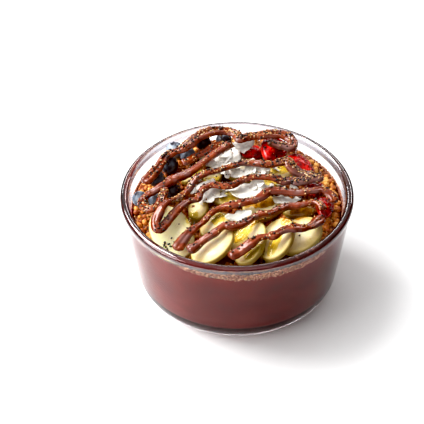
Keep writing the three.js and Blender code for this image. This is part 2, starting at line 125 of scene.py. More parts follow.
# How wide each strand is, at shares of its length.
GIRTHS = [
    [
        (0, 1.35), (0.08, 1.2), (0.17, 0.95), (0.25, 1.15), (0.34, 1.4), (0.45, 1.3), (0.52, 1.1),
        (0.6, 1.1), (0.7, 1.35), (0.85, 1.2), (1, 1.15),
    ],
    [(0, 1.1), (0.5, 0.9), (1, 1.15)],
    [(0, 1.1), (0.2, 0.9), (0.35, 1.3), (0.5, 1.15), (0.62, 0.8), (0.8, 0.95), (1, 0.85)],
    [
        (0, 1.4), (0.06, 1.35), (0.12, 0.95), (0.24, 0.75), (0.34, 0.9), (0.42, 0.8), (0.52, 1.05),
        (0.6, 0.9), (0.68, 0.75), (0.76, 0.95), (0.84, 0.75), (0.92, 1.1), (1, 1.1),
    ],
    [
        (0, 1.45), (0.06, 1.3), (0.16, 0.95), (0.24, 0.64), (0.34, 0.68), (0.42, 1.05), (0.55, 0.9),
        (0.62, 1.15), (0.75, 0.85), (1, 1.0),
    ],
    [
        (0, 0.9), (0.15, 0.75), (0.3, 1.15), (0.38, 0.9), (0.46, 1.1), (0.55, 0.72), (0.66, 1.2),
        (0.75, 0.95), (0.9, 1.05), (1, 1.35),
    ],
    [
        (0, 1.25), (0.2, 1.2), (0.36, 0.78), (0.42, 1.15), (0.5, 0.82), (0.62, 1.25), (0.75, 0.82),
        (0.9, 1.2), (1, 1.2),
    ],
]

# How thick the seeds lie along each strand, in the same way.
SEEDING = [
    [(0, 0.7), (0.15, 1.3), (0.5, 1.6), (0.6, 1.8), (0.8, 1.0), (1, 1.8)],
    [(0, 0.8), (1, 1.0)],
    [(0, 0.8), (0.3, 0.25), (0.6, 0.4), (0.8, 0.9), (1, 1.0)],
    [
        (0, 1.8), (0.1, 1.8), (0.25, 1.3), (0.38, 0.9), (0.45, 0.15), (0.6, 0.15), (0.68, 0.8),
        (1, 1.5),
    ],
    [(0, 0.15), (0.25, 0.3), (0.4, 0.8), (0.7, 0.6), (1, 1.0)],
    [(0, 0.8), (0.4, 0.6), (0.6, 0.7), (0.75, 0.2), (1, 0.2)],
    [(0, 0.1), (0.3, 0.3), (0.5, 0.7), (1, 0.4)],
]

# How deep the groove along each strand is, as a share of its thickness.
GROOVES = [0.4, 0.35, 0.2, 0.15, 0.2, 0.2, 0.2]

# Where the chocolate is dulled, in plan: middle and reach. It is partly smeared, matt sauce and partly
# a painted purple-grey reflection.
SMEARS_AND_SHEEN = [((31, 33), 9), ((44, 14), 9), ((40, 5), 12), ((52, 8), 8)]

# How waxy each blueberry's bloom is: pale where above 0, dark where below. The last two are made
# near-black as painted shade.
BLOOMS_AND_SHADE = [0.12, 0.1, -0.12, -0.18, -0.2, 0.06, 0.04, -0.3, -0.3]

# How much darker some coconut flakes are painted than the others: painted shade.
SHADED_FLAKES = {9: 0.7}

# How much lighter some banana slices are painted than the others: painted light on slices that lie in
# shade.
PAINTED_LIGHT_ON_SLICES = {16: 1.0, 9: 0.5}

# Pools of honey in plan: middle, half lengths, turn in degrees.
HONEY_POOLS = [
    ((-29, -23), (11, 5), 72),
    ((-18, 47), (9, 5), 30),
    ((-25, 24), (8, 5), 40),
    ((-18, 12), (9, 5), 35),
    ((-6, -3), (9, 6), 10),
    ((3, 26), (8, 5), 20),
    ((28, 25), (9, 7), 10),
    ((22, 12), (10, 5), 0),
    ((16, -8), (14, 7), 25),
    ((41, -16), (12, 9), 30),
    ((10, -29), (9, 6), 35),
    ((1, -37), (7, 9), 60),
    ((-12, -24), (8, 5), 60),
    ((24, -49), (15, 4), 68),
    ((10, -57), (9, 6), 40),
    ((-42, -27), (7, 3.5), 60),
    ((33, -30), (9, 4), 60),
]

# Where small shreds of coconut lie: middle, spread, number.
COCONUT_DRIFTS = [
    ((-12, 30), (4, 5), 8), ((8, 24), (9, 5), 13), ((24, 12), (8, 4), 9), ((-14, 5), (8, 4), 10),
    ((4, 13), (9, 4), 9), ((-22, 20), (4, 5), 6),
]

# ---------------------------------------------------------------- mesh helpers


def arc(centre, radius, start, end, steps):
    """Points of an arc, from one angle to another in degrees."""
    angles = np.radians(np.linspace(start, end, steps + 1))
    return np.stack([centre[0] + radius * np.cos(angles), centre[1] + radius * np.sin(angles)], 1)


def full_turn(steps):
    """Evenly spaced angles all the way round, in radians."""
    return np.arange(steps) * 2 * np.pi / steps


def polar(radius, angles, height):
    """Points at a radius and height, at angles in radians about +Z."""
    return np.stack([radius * np.cos(angles), radius * np.sin(angles), height + 0 * angles], -1)


def read_off(table, places, **options):
    """The values at places along a table of (place, value)."""
    return np.interp(places, *zip(*table), **options)


def grid_faces(rows, columns, closed=True):
    """Quads between rows of points; closed joins each row's last point to its first."""
    wide = columns if closed else columns - 1
    row, column = np.meshgrid(np.arange(rows - 1), np.arange(wide), indexing="ij")
    beside = (column + 1) % columns
    corners = [row * columns + column, row * columns + beside]
    corners += [corners[1] + columns, corners[0] + columns]
    return np.stack(corners, -1).reshape(-1, 4)


def fractal(points, size, octaves=2, seed=0):
    """Smooth noise of about -1 to 1 at points, with lumps of that size."""
    moved = np.asarray(points) / size + 31.7 * seed
    return np.array([noise.fractal(Vector(p), 1.0, 2.0, octaves) for p in moved.tolist()])


def unit(vectors):
    """The vectors, each of length 1."""
    return vectors / np.maximum(np.linalg.norm(vectors, axis=-1, keepdims=True), 1e-9)


def make_piece(name, points, faces, material, nodes=(), data=None):
    """A smooth mesh on the part's one body, in place of the CAD nodes that it stands for. data
    holds numbers for its material: one for the whole piece, or one for each point."""
    mesh = bpy.data.meshes.new(name)
    mesh.from_pydata((np.asarray(points) * MM).tolist(), [], np.asarray(faces).tolist())
    for key, values in (data or {}).items():
        values = np.asarray(values, np.float32)
        if values.ndim == 0:
            values = np.full(len(mesh.vertices), values)
        kind, field = ("FLOAT", "value") if values.ndim == 1 else ("FLOAT_VECTOR", "vector")
        mesh.attributes.new(key, kind, "POINT").data.foreach_set(field, values.ravel())
    welded = bmesh.new()
    welded.from_mesh(mesh)
    bmesh.ops.remove_doubles(welded, verts=welded.verts, dist=1e-7)
    bmesh.ops.recalc_face_normals(welded, faces=welded.faces)
    welded.to_mesh(mesh)
    welded.free()
    mesh.materials.append(material)
    mesh.shade_smooth()
    piece = bpy.data.objects.new(name, mesh)
    scene.collection.objects.link(piece)
    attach(piece, "root")
    if nodes:
        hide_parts(*nodes)
    return piece


class Surface:
    """Meshes in mm that rays are sent to."""

    def __init__(self, *parts):
        points, faces, start = [], [], 0
        for part_points, part_faces in parts:
            points.append(part_points)
            faces += (np.asarray(part_faces) + start).tolist()
            start += len(part_points)
        self.tree = BVHTree.FromPolygons(np.concatenate(points).tolist(), faces)

    def ray(self, start, way):
        """The point and normal that a ray meets first, or None twice."""
        hit, normal, _, _ = self.tree.ray_cast(Vector(start), Vector(way))
        return (None, None) if hit is None else (np.array(hit), np.array(normal))

    def under(self, x, y):
        """The point met from above, and its normal, turned up."""
        hit, normal = self.ray((x, y, 200), (0, 0, -1))
        if hit is not None and normal[2] < 0:
            normal = -normal
        return hit, normal

    def height(self, x, y, otherwise):
        """How high the surface lies at a place in plan."""
        hit, _ = self.under(x, y)
        return otherwise if hit is None else hit[2]


# ---------------------------------------------------------------- reading a CAD node


def triangles(node):
    """A node's points in mm, and its triangles as indices."""
    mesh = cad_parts[node].data
    mesh.calc_loop_triangles()
    points = np.array([v.co for v in mesh.vertices]) / MM
    return points, np.array([t.vertices for t in mesh.loop_triangles])


def principal_axes(points, faces):
    """The middle of a surface, and its axes from the longest to the shortest."""
    a, b, c = (points[faces[:, k]] for k in range(3))
    area = np.linalg.norm(np.cross(b - a, c - a), axis=1) / 2
    middle = ((a + b + c) / 3 * area[:, None]).sum(0) / area.sum()
    corners = [p - middle for p in (a, b, c)]
    corners.append(sum(corners))
    spread = sum((p * area[:, None]).T @ p for p in corners)
    return middle, np.linalg.eigh(spread)[1].T[::-1]


class Slab:
    """A flat CAD piece in its own axes: along, across and up."""

    def __init__(self, node, around=96):
        points, faces = triangles(node)
        self.middle, axes = principal_axes(points, faces)
        up = axes[2] * (1 if axes[2][2] > 0 else -1)
        along = axes[0]
        self.axes = np.array([along, np.cross(up, along), up])
        a, b, c = (points[faces[:, k]] for k in range(3))
        normals = np.cross(b - a, c - a)
        area = np.linalg.norm(normals, axis=1)
        facing = normals @ up / np.maximum(area, 1e-9)
        level = ((a + b + c) / 3 - self.middle) @ up
        top = np.average(level[facing > 0.95], weights=area[facing > 0.95])
        bottom = np.average(level[facing < -0.95], weights=area[facing < -0.95])
        self.middle = self.middle + up * (top + bottom) / 2
        self.half = (top - bottom) / 2
        self.angles = full_turn(around)
        self.rim = self.outline(Surface((points, faces)))

    def outline(self, surface):
        """The distance from the middle to the side, at each angle, with the facets smoothed."""
        reach = []
        for angle in self.angles:
            way = math.cos(angle) * self.axes[0] + math.sin(angle) * self.axes[1]
            hit, _ = surface.ray(self.middle, way)
            reach.append(np.linalg.norm(hit - self.middle))
        window = np.exp(-0.5 * (np.arange(-9, 10) / 3.0) ** 2)
        wrapped = np.concatenate([reach[-9:], reach, reach[:9]])
        return np.convolve(wrapped, window / window.sum(), "valid")

    def place(self, local):
        """Points of the part from points in the slab's axes."""
        return self.middle + local @ self.axes


def slab_grid(slab, profile, edge, rim):
    """Points and faces of a slab. The profile's rows are share of the face, share of the edge's
    roundness and height."""
    share, out, level = (profile[:, k][:, None] for k in range(3))
    radial = (rim[None, :] - edge) * share + edge * out
    flat = np.stack([radial * np.cos(slab.angles), radial * np.sin(slab.angles)], -1)
    local = np.concatenate([flat, np.broadcast_to(level, radial.shape)[..., None]], -1)
    return local.reshape(-1, 3), grid_faces(len(profile), len(slab.angles))


# ---------------------------------------------------------------- material helpers


def colour(text):
    """Linear red, green, blue and alpha from an sRGB text such as f2e6bf."""
    values = [int(text[k : k + 2], 16) / 255 for k in (0, 2, 4)]
    return [v / 12.92 if v <= 0.04045 else ((v + 0.055) / 1.055) ** 2.4 for v in values] + [1]


class Nodes:
    """The nodes of a material or a world, and short calls that add to them."""

    def __init__(self, tree):
        self.nodes = tree.nodes
        self.links = tree.links

    def put(self, target, value):
        """Links an output to a socket, or sets the socket to a number or colour."""
        if isinstance(value, bpy.types.NodeSocket):
            self.links.new(value, target)
        else:
            target.default_value = value

    def add(self, kind, *values, **settings):
        """A node of a kind with its settings, and with its first inputs linked or set."""
        node = self.nodes.new("ShaderNode" + kind)
        for setting, value in settings.items():
            setattr(node, setting, value)
        for socket, value in zip([s for s in node.inputs if s.enabled], values):
            self.put(socket, value)
        return node

    def calculate(self, operation, *values):
        """One Math node."""
        return self.add("Math", *values, operation=operation).outputs[0]

    def between(self, factor, low, high, start=0.0, end=1.0):
        """factor, from low to high, spread over start to end."""
        return self.add("MapRange", factor, low, high, start, end).outputs[0]

    def band(self, factor, stops):
        """Colours along a factor, as (position, linear colour)."""
        node = self.add("ValToRGB", factor)
        elements = node.color_ramp.elements
        while len(elements) < len(stops):
            elements.new(0.5)
        for element, (position, shade) in zip(elements, stops):
            element.position = position
            element.color = shade
        return node.outputs["Color"]

    def ramp(self, factor, *stops):
        """Colours along a factor, as (position, sRGB text)."""
        return self.band(factor, [(position, colour(tint)) for position, tint in stops])

    def mix(self, factor, first, second, blend="MIX"):
        """Two colours mixed by a factor."""
        node = self.add("Mix", factor, first, second, data_type="RGBA", blend_type=blend)
        return next(s for s in node.outputs if s.enabled)


class Finish(Nodes):
    """A Principled material, and short calls for its pattern."""

    def __init__(self, name, values):
        self.material = bpy.data.materials.new(name)
        self.material.use_nodes = True
        super().__init__(self.material.node_tree)
        self.shader = self.nodes["Principled BSDF"]
        self.places = self.add("TexCoord").outputs["Object"]
        for socket, value in values.items():
            self.set(socket, value)

    def noise(self, size, detail=2.0, stretch=(1, 1, 1), places=None):
        """Cloudy noise from 0 to 1, with lumps of that size in mm."""
        node = self.nodes.new("ShaderNodeTexNoise")
        node.inputs["Scale"].default_value = 1 / (size * MM)
        node.inputs["Detail"].default_value = detail
        mapping = self.nodes.new("ShaderNodeMapping")
        mapping.inputs["Scale"].default_value = stretch
        self.put(mapping.inputs["Vector"], places or self.places)
        self.put(node.inputs["Vector"], mapping.outputs["Vector"])
        return node.outputs["Fac"]

    def cells(self, size):
        """Distance to the nearest of many scattered points that lie that far apart in mm."""
        node = self.nodes.new("ShaderNodeTexVoronoi")
        node.inputs["Scale"].default_value = 1 / (size * MM)
        self.put(node.inputs["Vector"], self.places)
        return node.outputs["Distance"]

    def attribute(self, name, output="Fac"):
        """A number that the mesh holds at each point, or a vector with output Vector."""
        return self.add("Attribute", attribute_name=name).outputs[output]

    def bump(self, height, distance, strength=1.0):
        """Surface relief of that depth in mm."""
        node = self.nodes.new("ShaderNodeBump")
        node.inputs["Distance"].default_value = distance * MM
        node.inputs["Strength"].default_value = strength
        self.put(node.inputs["Height"], height)
        previous = self.shader.inputs["Normal"]
        if previous.links:
            self.put(node.inputs["Normal"], previous.links[0].from_socket)
        self.put(previous, node.outputs["Normal"])

    def set(self, socket, value):
        """Links or sets one of the shader's own sockets."""
        self.put(self.shader.inputs[socket], value)

    def roughen(self, size, start, end, detail=2.0, low=0.3, high=0.7):
        """Roughness that wanders from start to end, in patches of that size in mm."""
        self.set("Roughness", self.between(self.noise(size, detail), low, high, start, end))


def let_light_through(finish, tint):
    """Lets the shadow rays of lamps through a clear material, tinted."""
    shadow = finish.add("LightPath").outputs["Is Shadow Ray"]
    clear = finish.add("BsdfTransparent", colour(tint))
    either = finish.add("MixShader", shadow, finish.shader.outputs[0], clear.outputs[0])
    finish.put(finish.nodes["Material Output"].inputs["Surface"], either.outputs[0])


# ---------------------------------------------------------------- materials


def glass_finish():
    finish = Finish(
        "clear_glass",
        {"IOR": 1.5, "Transmission Weight": 1.0, "Coat IOR": 1.6, "Coat Roughness": 0.03},
    )
    # The puree wets the wall from inside, which dims what it reflects; the lip stays bright.
    # These heights are in metres.
    height = finish.add("SeparateXYZ", finish.places).outputs["Z"]
    dry = finish.between(height, 0.068, 0.074)
    lip = finish.between(height, 0.0706, 0.0718)
    finish.set("Specular Tint", finish.ramp(dry, (0.2, "bcbcbc"), (0.8, "f0eaf2")))
    # Seen edge on, its shine is cut, and the wall and lip are painted dark there: painted shade that
    # draws the glass's dark edge lines.
    edge_on = finish.add("LayerWeight").outputs["Facing"]
    cut = finish.between(edge_on, 0.5, 0.85, 0.9, 0.0)
    finish.set("Coat Weight", finish.calculate("MULTIPLY", lip, cut))
    finish.set("Specular IOR Level", finish.between(edge_on, 0.5, 0.85, 0.5, 0.1))
    # The wall goes dark towards its edges, and the lip goes from a painted lavender reflection to
    # near-black painted shade.
    wall = finish.ramp(edge_on, (0.6, "f4f4f4"), (0.8, "a8a0a8"), (1.0, "3c3238"))
    rim = finish.ramp(edge_on, (0.05, "e0dde2"), (0.22, "9a949c"), (0.45, "3c363c"), (1.0, "0c080a"))
    finish.set("Base Color", finish.mix(lip, wall, rim))
    finish.roughen(22, 0.0, 0.02, 3, 0.5, 0.8)
    finish.bump(finish.noise(30, 1), 0.08, 0.2)
    let_light_through(finish, "f0f0f0")
    return finish.material


def acai_finish():
    """Thick puree that wets the glass, so it has hardly a shine of its own."""
    finish = Finish(
        "acai_puree",
        {
            "Subsurface Weight": 0.1, "Subsurface Scale": 0.004,
            "Subsurface Radius": (1.0, 0.35, 0.3), "Specular IOR Level": 0.04,
        },
    )
    clouds = finish.noise(26, 3, stretch=(1, 1, 1.6))
    flesh = finish.ramp(clouds, (0.3, "6e2624"), (0.5, "762a27"), (0.72, "84332e"))
    flecks = finish.between(finish.cells(1.1), 0.05, 0.2, 1.0, 0.0)
    sparse = finish.calculate("MULTIPLY", flecks, finish.between(finish.noise(6), 0.45, 0.7))
    specks = finish.calculate("MULTIPLY", sparse, 0.35)
    finish.set("Base Color", finish.mix(specks, flesh, colour("4a2224")))
    finish.roughen(5, 0.45, 0.65)
    finish.bump(finish.noise(1.6, 4), 0.06, 0.3)
    return finish.material


def granola_finish(name, dark, middle, light):
    finish = Finish(name, {"Subsurface Weight": 0.05, "Subsurface Scale": 0.002})
    grit = finish.between(finish.noise(1.2, 4), 0.3, 0.7, -0.25, 0.25)
    grain = finish.calculate("ADD", finish.attribute("tone"), grit)
    finish.set("Base Color", finish.ramp(grain, (0.1, dark), (0.5, middle), (0.9, light)))
    finish.roughen(2, 0.35, 0.7, low=0.35, high=0.65)
    finish.bump(finish.noise(0.7, 4), 0.25, 0.8)
    return finish.material


def banana_finish():
    finish = Finish("banana_flesh", {"Subsurface Weight": 0.6, "Subsurface Scale": 0.006})
    finish.set("Subsurface Radius", (1.0, 0.75, 0.35))
    share = finish.attribute("share")
    flesh = finish.ramp(finish.noise(7, 3), (0.3, "e8d4a0"), (0.6, "f4e6c0"))
    # Slices that lie in shade are painted lighter, with less of their streaks and edge colour: painted
    # light.
    painted_light = finish.attribute("painted_light")
    flesh = finish.mix(painted_light, flesh, colour("fff3c6"))
    plain = finish.between(painted_light, 0.0, 1.0, 1.0, 0.35)
    # Streaks run out from the core, and a faint darker ring surrounds it.
    streaks = finish.noise(70, 3, places=finish.attribute("around", "Vector"))
    from_ring = finish.calculate("ABSOLUTE", finish.calculate("SUBTRACT", share, 0.36))
    ring = finish.between(from_ring, 0.05, 0.2, 1, 0)
    core = finish.calculate("MULTIPLY", ring, finish.between(streaks, 0.42, 0.6, 0.0, 0.25))
    flesh = finish.mix(core, flesh, colour("c09b52"))
    fans = finish.noise(34, 5, places=finish.attribute("around", "Vector"))
    sheer = finish.calculate("MULTIPLY", fans, finish.between(share, 0.1, 0.9, 0.2, 1.0))
    shown = finish.calculate("MULTIPLY", finish.between(sheer, 0.32, 0.6, 0.0, 0.35), plain)
    flesh = finish.mix(shown, flesh, colour("c4ab58"))
    # Towards the edge the flesh turns yellow-olive, partly its own colour and partly painted shade;
    # the side is painted darker still, as painted shade.
    edge_tint_and_shade = finish.calculate("MULTIPLY", finish.between(share, 0.5, 1.05, 0.0, 0.6), plain)
    flesh = finish.mix(edge_tint_and_shade, flesh, colour("ba9c40"))
    side = finish.between(share, 1.05, 1.2, 0.0, 0.8)
    flesh = finish.mix(side, flesh, colour("8f7a2a"))
    runs = finish.between(finish.noise(3.4, 4, stretch=(1, 0.4, 1)), 0.38, 0.58, 0.25, 0.85)
    honeyed = finish.calculate("MULTIPLY", finish.attribute("honeyed"), runs)
    gold = finish.mix(finish.attribute("browner"), colour("b0a026"), colour("86600c"))
    finish.set("Base Color", finish.mix(honeyed, flesh, gold))
    finish.roughen(2.2, 0.34, 0.55, 3, 0.35, 0.65)
    finish.bump(finish.noise(1.3, 4), 0.18, 0.5)
    finish.bump(streaks, 0.12, 0.3)
    return finish.material


def strawberry_finish():
    finish = Finish("strawberry_flesh", {"Subsurface Weight": 0.15, "Subsurface Scale": 0.002})
    finish.set("Subsurface Radius", (1.0, 0.2, 0.1))
    skin = finish.ramp(finish.noise(5, 3), (0.35, "640206"), (0.5, "ac0808"), (0.65, "e0180e"))
    pale = finish.calculate("MULTIPLY", finish.attribute("pale"), 0.4)
    skin = finish.mix(pale, skin, colour("d98468"))
    patches = finish.between(finish.noise(3, 3), 0.4, 0.55)
    smear = finish.calculate("MULTIPLY", finish.attribute("smeared"), patches)
    finish.set("Base Color", finish.mix(smear, skin, colour("5a2f2a")))
    finish.roughen(1.8, 0.12, 0.3)
    finish.bump(finish.noise(1.0, 3), 0.15, 0.5)
    return finish.material


def achene_finish():
    finish = Finish("strawberry_seed", {})
    tone = finish.attribute("tone")
    finish.set("Base Color", finish.ramp(tone, (0.2, "8a3a1a"), (0.8, "c07a3a")))
    finish.roughen(0.8, 0.25, 0.45)
    finish.bump(finish.noise(0.4), 0.05, 0.4)
    return finish.material


def blueberry_finish():
    finish = Finish("blueberry_skin", {})
    bloom_and_shade = finish.calculate("ADD", finish.noise(6, 3), finish.attribute("bloom_and_shade"))
    skin = finish.ramp(bloom_and_shade, (0.3, "24272f"), (0.48, "65707e"), (0.75, "a0abb5"))
    finish.set("Base Color", finish.mix(finish.attribute("crown"), skin, colour("3a3a46")))
    finish.set("Roughness", finish.between(bloom_and_shade, 0.4, 0.8, 0.35, 0.6))
    finish.bump(finish.noise(0.8, 3), 0.04, 0.3)
    return finish.material


def coconut_finish():
    finish = Finish("coconut_chip", {"Subsurface Weight": 0.25, "Subsurface Scale": 0.002})
    finish.set("Subsurface Radius", (1.0, 0.92, 0.8))
    flesh = finish.ramp(finish.noise(5, 3), (0.3, "e2ddd2"), (0.65, "f5f2ea"))
    # Some flakes are darkened as painted shade.
    flesh = finish.mix(finish.attribute("flake_shade"), flesh, colour("a8a69c"))
    honeyed = finish.calculate("MULTIPLY", finish.attribute("honeyed"), 0.45)
    finish.set("Base Color", finish.mix(honeyed, flesh, colour("cfb64a")))
    finish.roughen(2, 0.4, 0.6)
    finish.bump(finish.noise(4, 4, stretch=(1, 6, 6)), 0.4, 0.9)
    return finish.material


def chocolate_finish():
    finish = Finish(
        "chocolate_sauce",
        {"Coat Weight": 0.65, "Coat Roughness": 0.12, "Specular IOR Level": 0.3},
    )
    dull_and_sheen = finish.attribute("dull_and_sheen")
    body = finish.ramp(finish.noise(7, 3), (0.3, "60220a"), (0.55, "7e3310"), (0.75, "98481c"))
    # Where dulled it turns purple-grey: partly matt, smeared sauce, partly a painted reflection of the
    # pale sky.
    finish.set("Base Color", finish.mix(dull_and_sheen, body, colour("6f4a44")))
    sheen = finish.between(finish.noise(3, 3), 0.3, 0.7, 0.16, 0.3)
    matt = finish.calculate("MULTIPLY", dull_and_sheen, 0.25)
    finish.set("Roughness", finish.calculate("ADD", sheen, matt))
    finish.bump(finish.noise(5, 2), 0.2, 0.35)
    return finish.material


def seed_finish(name, *stops):
    """Small dry seeds, each of its own tone."""
    finish = Finish(name, {})
    mottle = finish.between(finish.noise(0.8, 3), 0.3, 0.7, -0.25, 0.25)
    tone = finish.calculate("ADD", finish.attribute("tone"), mottle)
    finish.set("Base Color", finish.ramp(tone, *stops))
    finish.roughen(1, 0.25, 0.45)
    finish.bump(finish.noise(0.5), 0.05, 0.4)
    return finish.material


def honey_finish():
    finish = Finish("honey", {"IOR": 1.46, "Transmission Weight": 0.88})
    thin = finish.ramp(finish.noise(6, 2), (0.3, "dcc86a"), (0.7, "ece0a0"))
    finish.set("Base Color", finish.mix(finish.attribute("browner"), thin, colour("c8963a")))
    finish.roughen(4, 0.05, 0.15)
    finish.bump(finish.noise(3.5, 2), 0.1, 0.3)
    let_light_through(finish, "ece08c")
    return finish.material


def floor_finish():
    finish = Finish("studio_floor", {})
    pale = finish.ramp(finish.noise(160, 2), (0.3, "f3f3f3"), (0.7, "f6f6f6"))
    # The camera sees it pale all over; what the glass shows of it ends in a dark studio.
    # The distances are in metres.
    away = finish.add("VectorMath", finish.places, operation="LENGTH").outputs["Value"]
    unseen = finish.calculate("SUBTRACT", 1.0, finish.add("LightPath").outputs["Is Camera Ray"])
    far = finish.calculate("MULTIPLY", finish.between(away, 0.26, 0.5), unseen)
    finish.set("Base Color", finish.mix(far, pale, colour("202020")))
    finish.roughen(60, 0.7, 0.8)
    return finish.material


# ---------------------------------------------------------------- glass and puree

LEAN = math.tan(DRAFT)
LEAN_DEGREES = math.degrees(DRAFT)
LIP_MIDDLE = (RADIUS - LIP, HEIGHT - LIP)


def inner_radius(height):
    """The inside of the glass at a height."""
    return LIP_MIDDLE[0] - LIP - (LIP_MIDDLE[1] - height) * LEAN


def inner_corner(floor, inset, steps):
    """The round corner from a floor to the leaning inner wall, set in by an inset."""
    radius = INNER_CORNER - inset
    height = floor + radius
    wall = inner_radius(height) - inset / math.cos(DRAFT)
    return arc((wall - radius / math.cos(DRAFT), height), radius, -90, -LEAN_DEGREES, steps)


def straight(start, end, steps):
    """Points from one to another, without the last."""
    return np.linspace(start, end, steps, endpoint=False)


def lathe(profile, around):
    """Points and faces of a profile of [radius, height] turned about +Z."""
    points = polar(profile[:, 0][:, None], full_turn(around), profile[:, 1][:, None])
    return points, grid_faces(len(profile), around)


def glass_bowl():
    outer = arc((FOOT, CORNER), CORNER, -90, -LEAN_DEGREES, 20)
    wall_top = HEIGHT - 2 * LIP - LIP_NECK
    wall_end = (outer[-1][0] + (wall_top - outer[-1][1]) * LEAN, wall_top)
    lip = arc(LIP_MIDDLE, LIP, -15, 180, 26)
    inner = inner_corner(BASE, 0, 16)[::-1]
    profile = np.concatenate([
        straight((0, 0), outer[0], 8),
        outer[:-1],
        straight(outer[-1], wall_end, 12),
        straight(wall_end, lip[0], 3),
        lip[:-1],
        straight(lip[-1], inner[0], 14),
        inner[:-1],
        straight(inner[-1], (0, BASE), 8),
        [(0, BASE)],
    ])
    points, faces = lathe(profile, 192)
    shape = points.reshape(-1, 3)
    make_piece("bowl_glass", shape, faces, glass_finish(), ["glass_bowl"])


def puree_edge(angles):
    """Height of the puree's edge on the glass at angles in radians."""
    level = read_off(PUREE_EDGE, np.degrees(angles), period=360)
    round_rim = polar(69, angles, 0)  # about where the wall is
    return level + 0.9 * fractal(round_rim, 12, 3, seed=1) + 0.4 * fractal(round_rim, 3, 2, seed=2)


def puree_fill():
    """The puree, pressed to the glass, with a thin smear of it up the glass at the sides."""
    around = 240
    corner = inner_corner(BASE - INTO_WALL, -INTO_WALL, 14)
    top = (inner_radius(PUREE_LEVEL) + INTO_WALL, PUREE_LEVEL)
    wall = np.linspace(corner[-1], top, 34)[1:]
    profile = np.concatenate([straight((0, BASE - INTO_WALL), corner[0], 8), corner, wall])
    points, _ = lathe(profile, around)
    start = corner[-1][1]
    level = puree_edge(full_turn(around))
    rows = len(wall)
    height = points[-rows:, :, 2]
    raised = start + (height - start) * (level - start) / (PUREE_LEVEL - start)
    grown = (inner_radius(raised) + INTO_WALL) / np.hypot(points[-rows:, :, 0], points[-rows:, :, 1])
    points[-rows:, :, :2] *= grown[..., None]
    points[-rows:, :, 2] = raised
    film = points[-1] * [0.987, 0.987, 1] - [0, 0, 0.3]
    lid = [film]
    for share in (0.982, 0.6, 0.0):
        lid.append(points[-1] * [share, share, 0] + [0, 0, PUREE_LEVEL - 1.2])
    points = np.concatenate([points, np.array(lid)])
    faces = grid_faces(len(points), around)
    make_piece("acai_fill", points.reshape(-1, 3), faces, acai_finish(), ["acai_base"])


# ---------------------------------------------------------------- granola bed


def granola_height(x, y):
    """Height of the granola's dome."""
    share = np.minimum(np.hypot(x, y) / inner_radius(GRANOLA_RIM), 1)
    return GRANOLA_TOP - (GRANOLA_TOP - GRANOLA_RIM) * share**2 + GRANOLA_SLOPE * y


def granola_bed():
    """The bed under the loose grains: a dome whose side is pressed to the glass in lumps."""
    around = 300
    angles = full_turn(around)
    top_rows, side_rows = 70, 8
    rows = []
    for share in np.linspace(0, 1, top_rows) ** 0.75:
        radius = share * (inner_radius(GRANOLA_RIM) - 1.7)
        x, y = radius * np.cos(angles), radius * np.sin(angles)
        rows.append(np.stack([x, y, granola_height(x, y) - 0.6], 1))
    rim = rows[-1]
    for share in np.linspace(0, 1, side_rows + 1)[1:]:
        height = rim[:, 2] + share * (PUREE_LEVEL - 2.5 - rim[:, 2])
        rows.append(polar(inner_radius(height) - 1.5, angles, height))
    floor = rows[-1] * [0.9, 0.9, 1]
    rows += [floor, floor * [0, 0, 1]]
    points = np.array(rows)
    shape = points.reshape(-1, 3)
    lumps = 0.7 * fractal(shape, 2.6, 2, seed=3) + 0.35 * fractal(shape, 1.1, 1, seed=4)
    lumps = lumps.reshape(len(rows), around)
    points[1:top_rows, :, 2] += lumps[1:top_rows]
    side = slice(top_rows, top_rows + side_rows)
    out = np.clip(lumps[side] * 0.9, -0.6, 0.5)
    radius = np.hypot(points[side, :, 0], points[side, :, 1])
    points[side, :, :2] *= 1 + out[..., None] / radius[..., None]
    faces = grid_faces(len(rows), around)
    shape = points.reshape(-1, 3)
    wet = np.clip((-42 - shape[:, 1]) / 12, 0, 1)
    tone = 0.45 - 0.6 * wet + 0.5 * fractal(shape, 2.2, 2, seed=5)
    material = granola_finish("granola_bed", "361206", "84461a", "b87434")
    make_piece("granola_bed", shape, faces, material, ["granola"], {"tone": tone})
    return shape, faces


# ---------------------------------------------------------------- fruit


def in_pool(points, soft=0.35):
    """How far points lie in the pools of honey: 0 outside, 1 well inside."""
    best = np.zeros(len(points))
    wander = 0.25 * fractal(points * [1, 1, 0], 5, 2, seed=8)
    for (x, y), (half_along, half_across), turn in HONEY_POOLS:
        c, s = math.cos(math.radians(turn)), math.sin(math.radians(turn))
        dx, dy = points[:, 0] - x, points[:, 1] - y
        reach = np.hypot((c * dx + s * dy) / half_along, (c * dy - s * dx) / half_across)
        best = np.maximum(best, np.clip((1 + wander - reach) / soft, 0, 1))
    return best


def browner_to_front_right(points):
    """How much browner the honey is made: most at the front right."""
    x, y, _ = points.T
    return np.clip((x + 5) / 15, 0, 1) * np.clip((2 - y) / 10, 0, 1) * np.clip((y + 38) / 8, 0, 1)


def disc_profile(half, edge, face_steps, corner_steps, crown):
    """A soft-edged disc from the middle of its top to the middle of its underside."""
    shares = np.linspace(0, 1, face_steps)
    lift = crown * (1 - shares**2)
    top = np.stack([shares, 0 * shares, half - crown + lift], 1)
    angles = np.linspace(0, np.pi / 2, corner_steps)[1:]
    whole = 1 + 0 * angles
    corner = np.stack([whole, np.sin(angles), half - crown - edge + edge * np.cos(angles)], 1)
    falling = -half + edge - edge * np.sin(angles - angles[0])
    under = np.stack([whole, np.sin(angles)[::-1], falling], 1)
    low = np.linspace(1, 0, 5)
    bottom = np.stack([low, 0 * low, -half + 0 * low], 1)
    return np.concatenate([top, corner, under, bottom])


